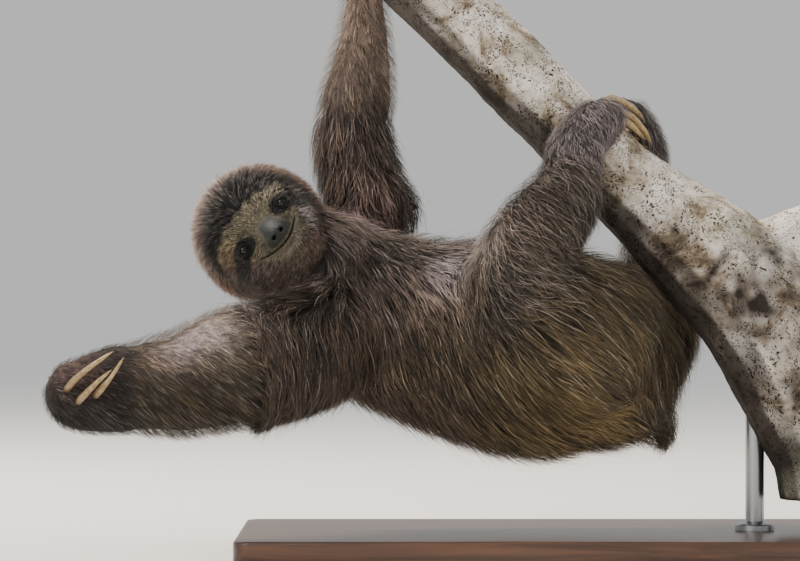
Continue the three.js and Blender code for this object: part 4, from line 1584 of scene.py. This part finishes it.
# %% Stand finishes
# Lacquered walnut lies under a clear coat, so a soft light floats over brown figure about
# 10 mm wide. Its pores are drawn 1 mm wide, coarser than real ones, so that they show.
walnut, tree, shader = finish("lacquered_walnut", Roughness=0.35, IOR=1.5, Coat_Weight=0.3,
                              Coat_Roughness=0.25)
spot = add(tree, "TexCoord")
along = add(tree, "Mapping", {"Scale": (3.0, 60.0, 60.0)}, {"Vector": spot.outputs["Object"]})
figure = add(tree, "TexNoise", {"Scale": 1.6, "Detail": 8.0, "Roughness": 0.6, "Distortion": 0.8},
             {"Vector": along.outputs["Vector"]})
base = add(tree, "ValToRGB", {}, {"Fac": figure.outputs["Fac"]},
           stops=[(0.3, "#2d1b11"), (0.5, "#4b2f1e"), (0.7, "#6b452c")])
tree.links.new(base.outputs["Color"], shader.inputs["Base Color"])
lines = add(tree, "Mapping", {"Scale": (30.0, 900.0, 900.0)}, {"Vector": spot.outputs["Object"]})
pore = add(tree, "TexNoise", {"Scale": 1.0, "Detail": 3.0}, {"Vector": lines.outputs["Vector"]})
open_grain = add(tree, "Bump", {"Strength": 0.15, "Distance": 0.2 * MM}, {"Height": pore.outputs["Fac"]})
tree.links.new(open_grain.outputs["Normal"], shader.inputs["Normal"])

# Steel brushed as it turns is grey and satin, with hairlines round the rod. They stand 0.4 mm
# apart, coarser than real ones.
steel, tree, shader = finish("brushed_steel", Base_Color=linear("#a9abad"), Metallic=1.0, Roughness=0.3)
spot = add(tree, "TexCoord")
turned = add(tree, "Mapping", {"Scale": (40.0, 40.0, 2500.0)}, {"Vector": spot.outputs["Object"]})
brush = add(tree, "TexNoise", {"Scale": 1.0, "Detail": 2.0}, {"Vector": turned.outputs["Vector"]})
rough = add(tree, "MapRange", {"To Min": 0.24, "To Max": 0.42}, {"Value": brush.outputs["Fac"]})
tree.links.new(rough.outputs["Result"], shader.inputs["Roughness"])
hairlines = add(tree, "Bump", {"Strength": 0.08, "Distance": 0.1 * MM}, {"Height": brush.outputs["Fac"]})
tree.links.new(hairlines.outputs["Normal"], shader.inputs["Normal"])
print("stand finishes:", walnut.name, steel.name)


# %% Board and rods
def board_piece():
    """The base board: a box, its upright corners rounded and all its edges eased."""
    low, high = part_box("stand_base")
    bm = bmesh.new()
    bmesh.ops.create_cube(bm, size=1.0)
    bmesh.ops.scale(bm, vec=high - low, verts=bm.verts)
    bmesh.ops.translate(bm, vec=(high + low) / 2, verts=bm.verts)
    upright = [edge for edge in bm.edges if abs(edge.verts[0].co.z - edge.verts[1].co.z) > MM]
    bmesh.ops.bevel(bm, geom=upright, affect="EDGES", offset=12 * MM, segments=8,
                    profile=0.5, material=-1)
    rims = [edge for edge in bm.edges
            if len({face.normal.z > 0.9 for face in edge.link_faces}) == 2
            or len({face.normal.z < -0.9 for face in edge.link_faces}) == 2]
    bmesh.ops.bevel(bm, geom=rims, affect="EDGES", offset=2 * MM, segments=4,
                    profile=0.5, material=-1)
    board = made_object("base_board", bm, walnut)
    board.data.set_sharp_from_angle(angle=math.radians(30))
    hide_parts("stand_base")
    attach(board, "root")


def rod_piece(node, name):
    """A steel rod with a turned collar at its foot, spun from one profile."""
    low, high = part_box(node)
    x, y, radius = (low.x + high.x) / 2, (low.y + high.y) / 2, (high.x - low.x) / 2
    top = high.z + 3 * MM
    outline = [(0, low.z), (2.1, low.z), (2.1, low.z + 4 * MM), (1.9, low.z + 5.2 * MM),
               (1.25, low.z + 6 * MM), (1.0, low.z + 7 * MM), (1.0, top), (0, top)]
    bm = bmesh.new()
    points = [bm.verts.new((radius * out, 0.0, z)) for out, z in outline]
    edges = [bm.edges.new(pair) for pair in zip(points, points[1:])]
    bmesh.ops.spin(bm, geom=points + edges, cent=(0, 0, 0), axis=(0, 0, 1),
                   angle=math.tau, steps=48, use_merge=True)
    bmesh.ops.remove_doubles(bm, verts=bm.verts, dist=0.01 * MM)
    bmesh.ops.recalc_face_normals(bm, faces=bm.faces)
    bmesh.ops.translate(bm, vec=(x, y, 0), verts=bm.verts)
    rod = made_object(name, bm, steel)
    rod.data.set_sharp_from_angle(angle=math.radians(35))
    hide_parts(node)
    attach(rod, "root")


board_piece()
rod_piece("stand_rod_stem", "stem_rod")
rod_piece("stand_rod_fork", "fork_rod")
print("stand made")
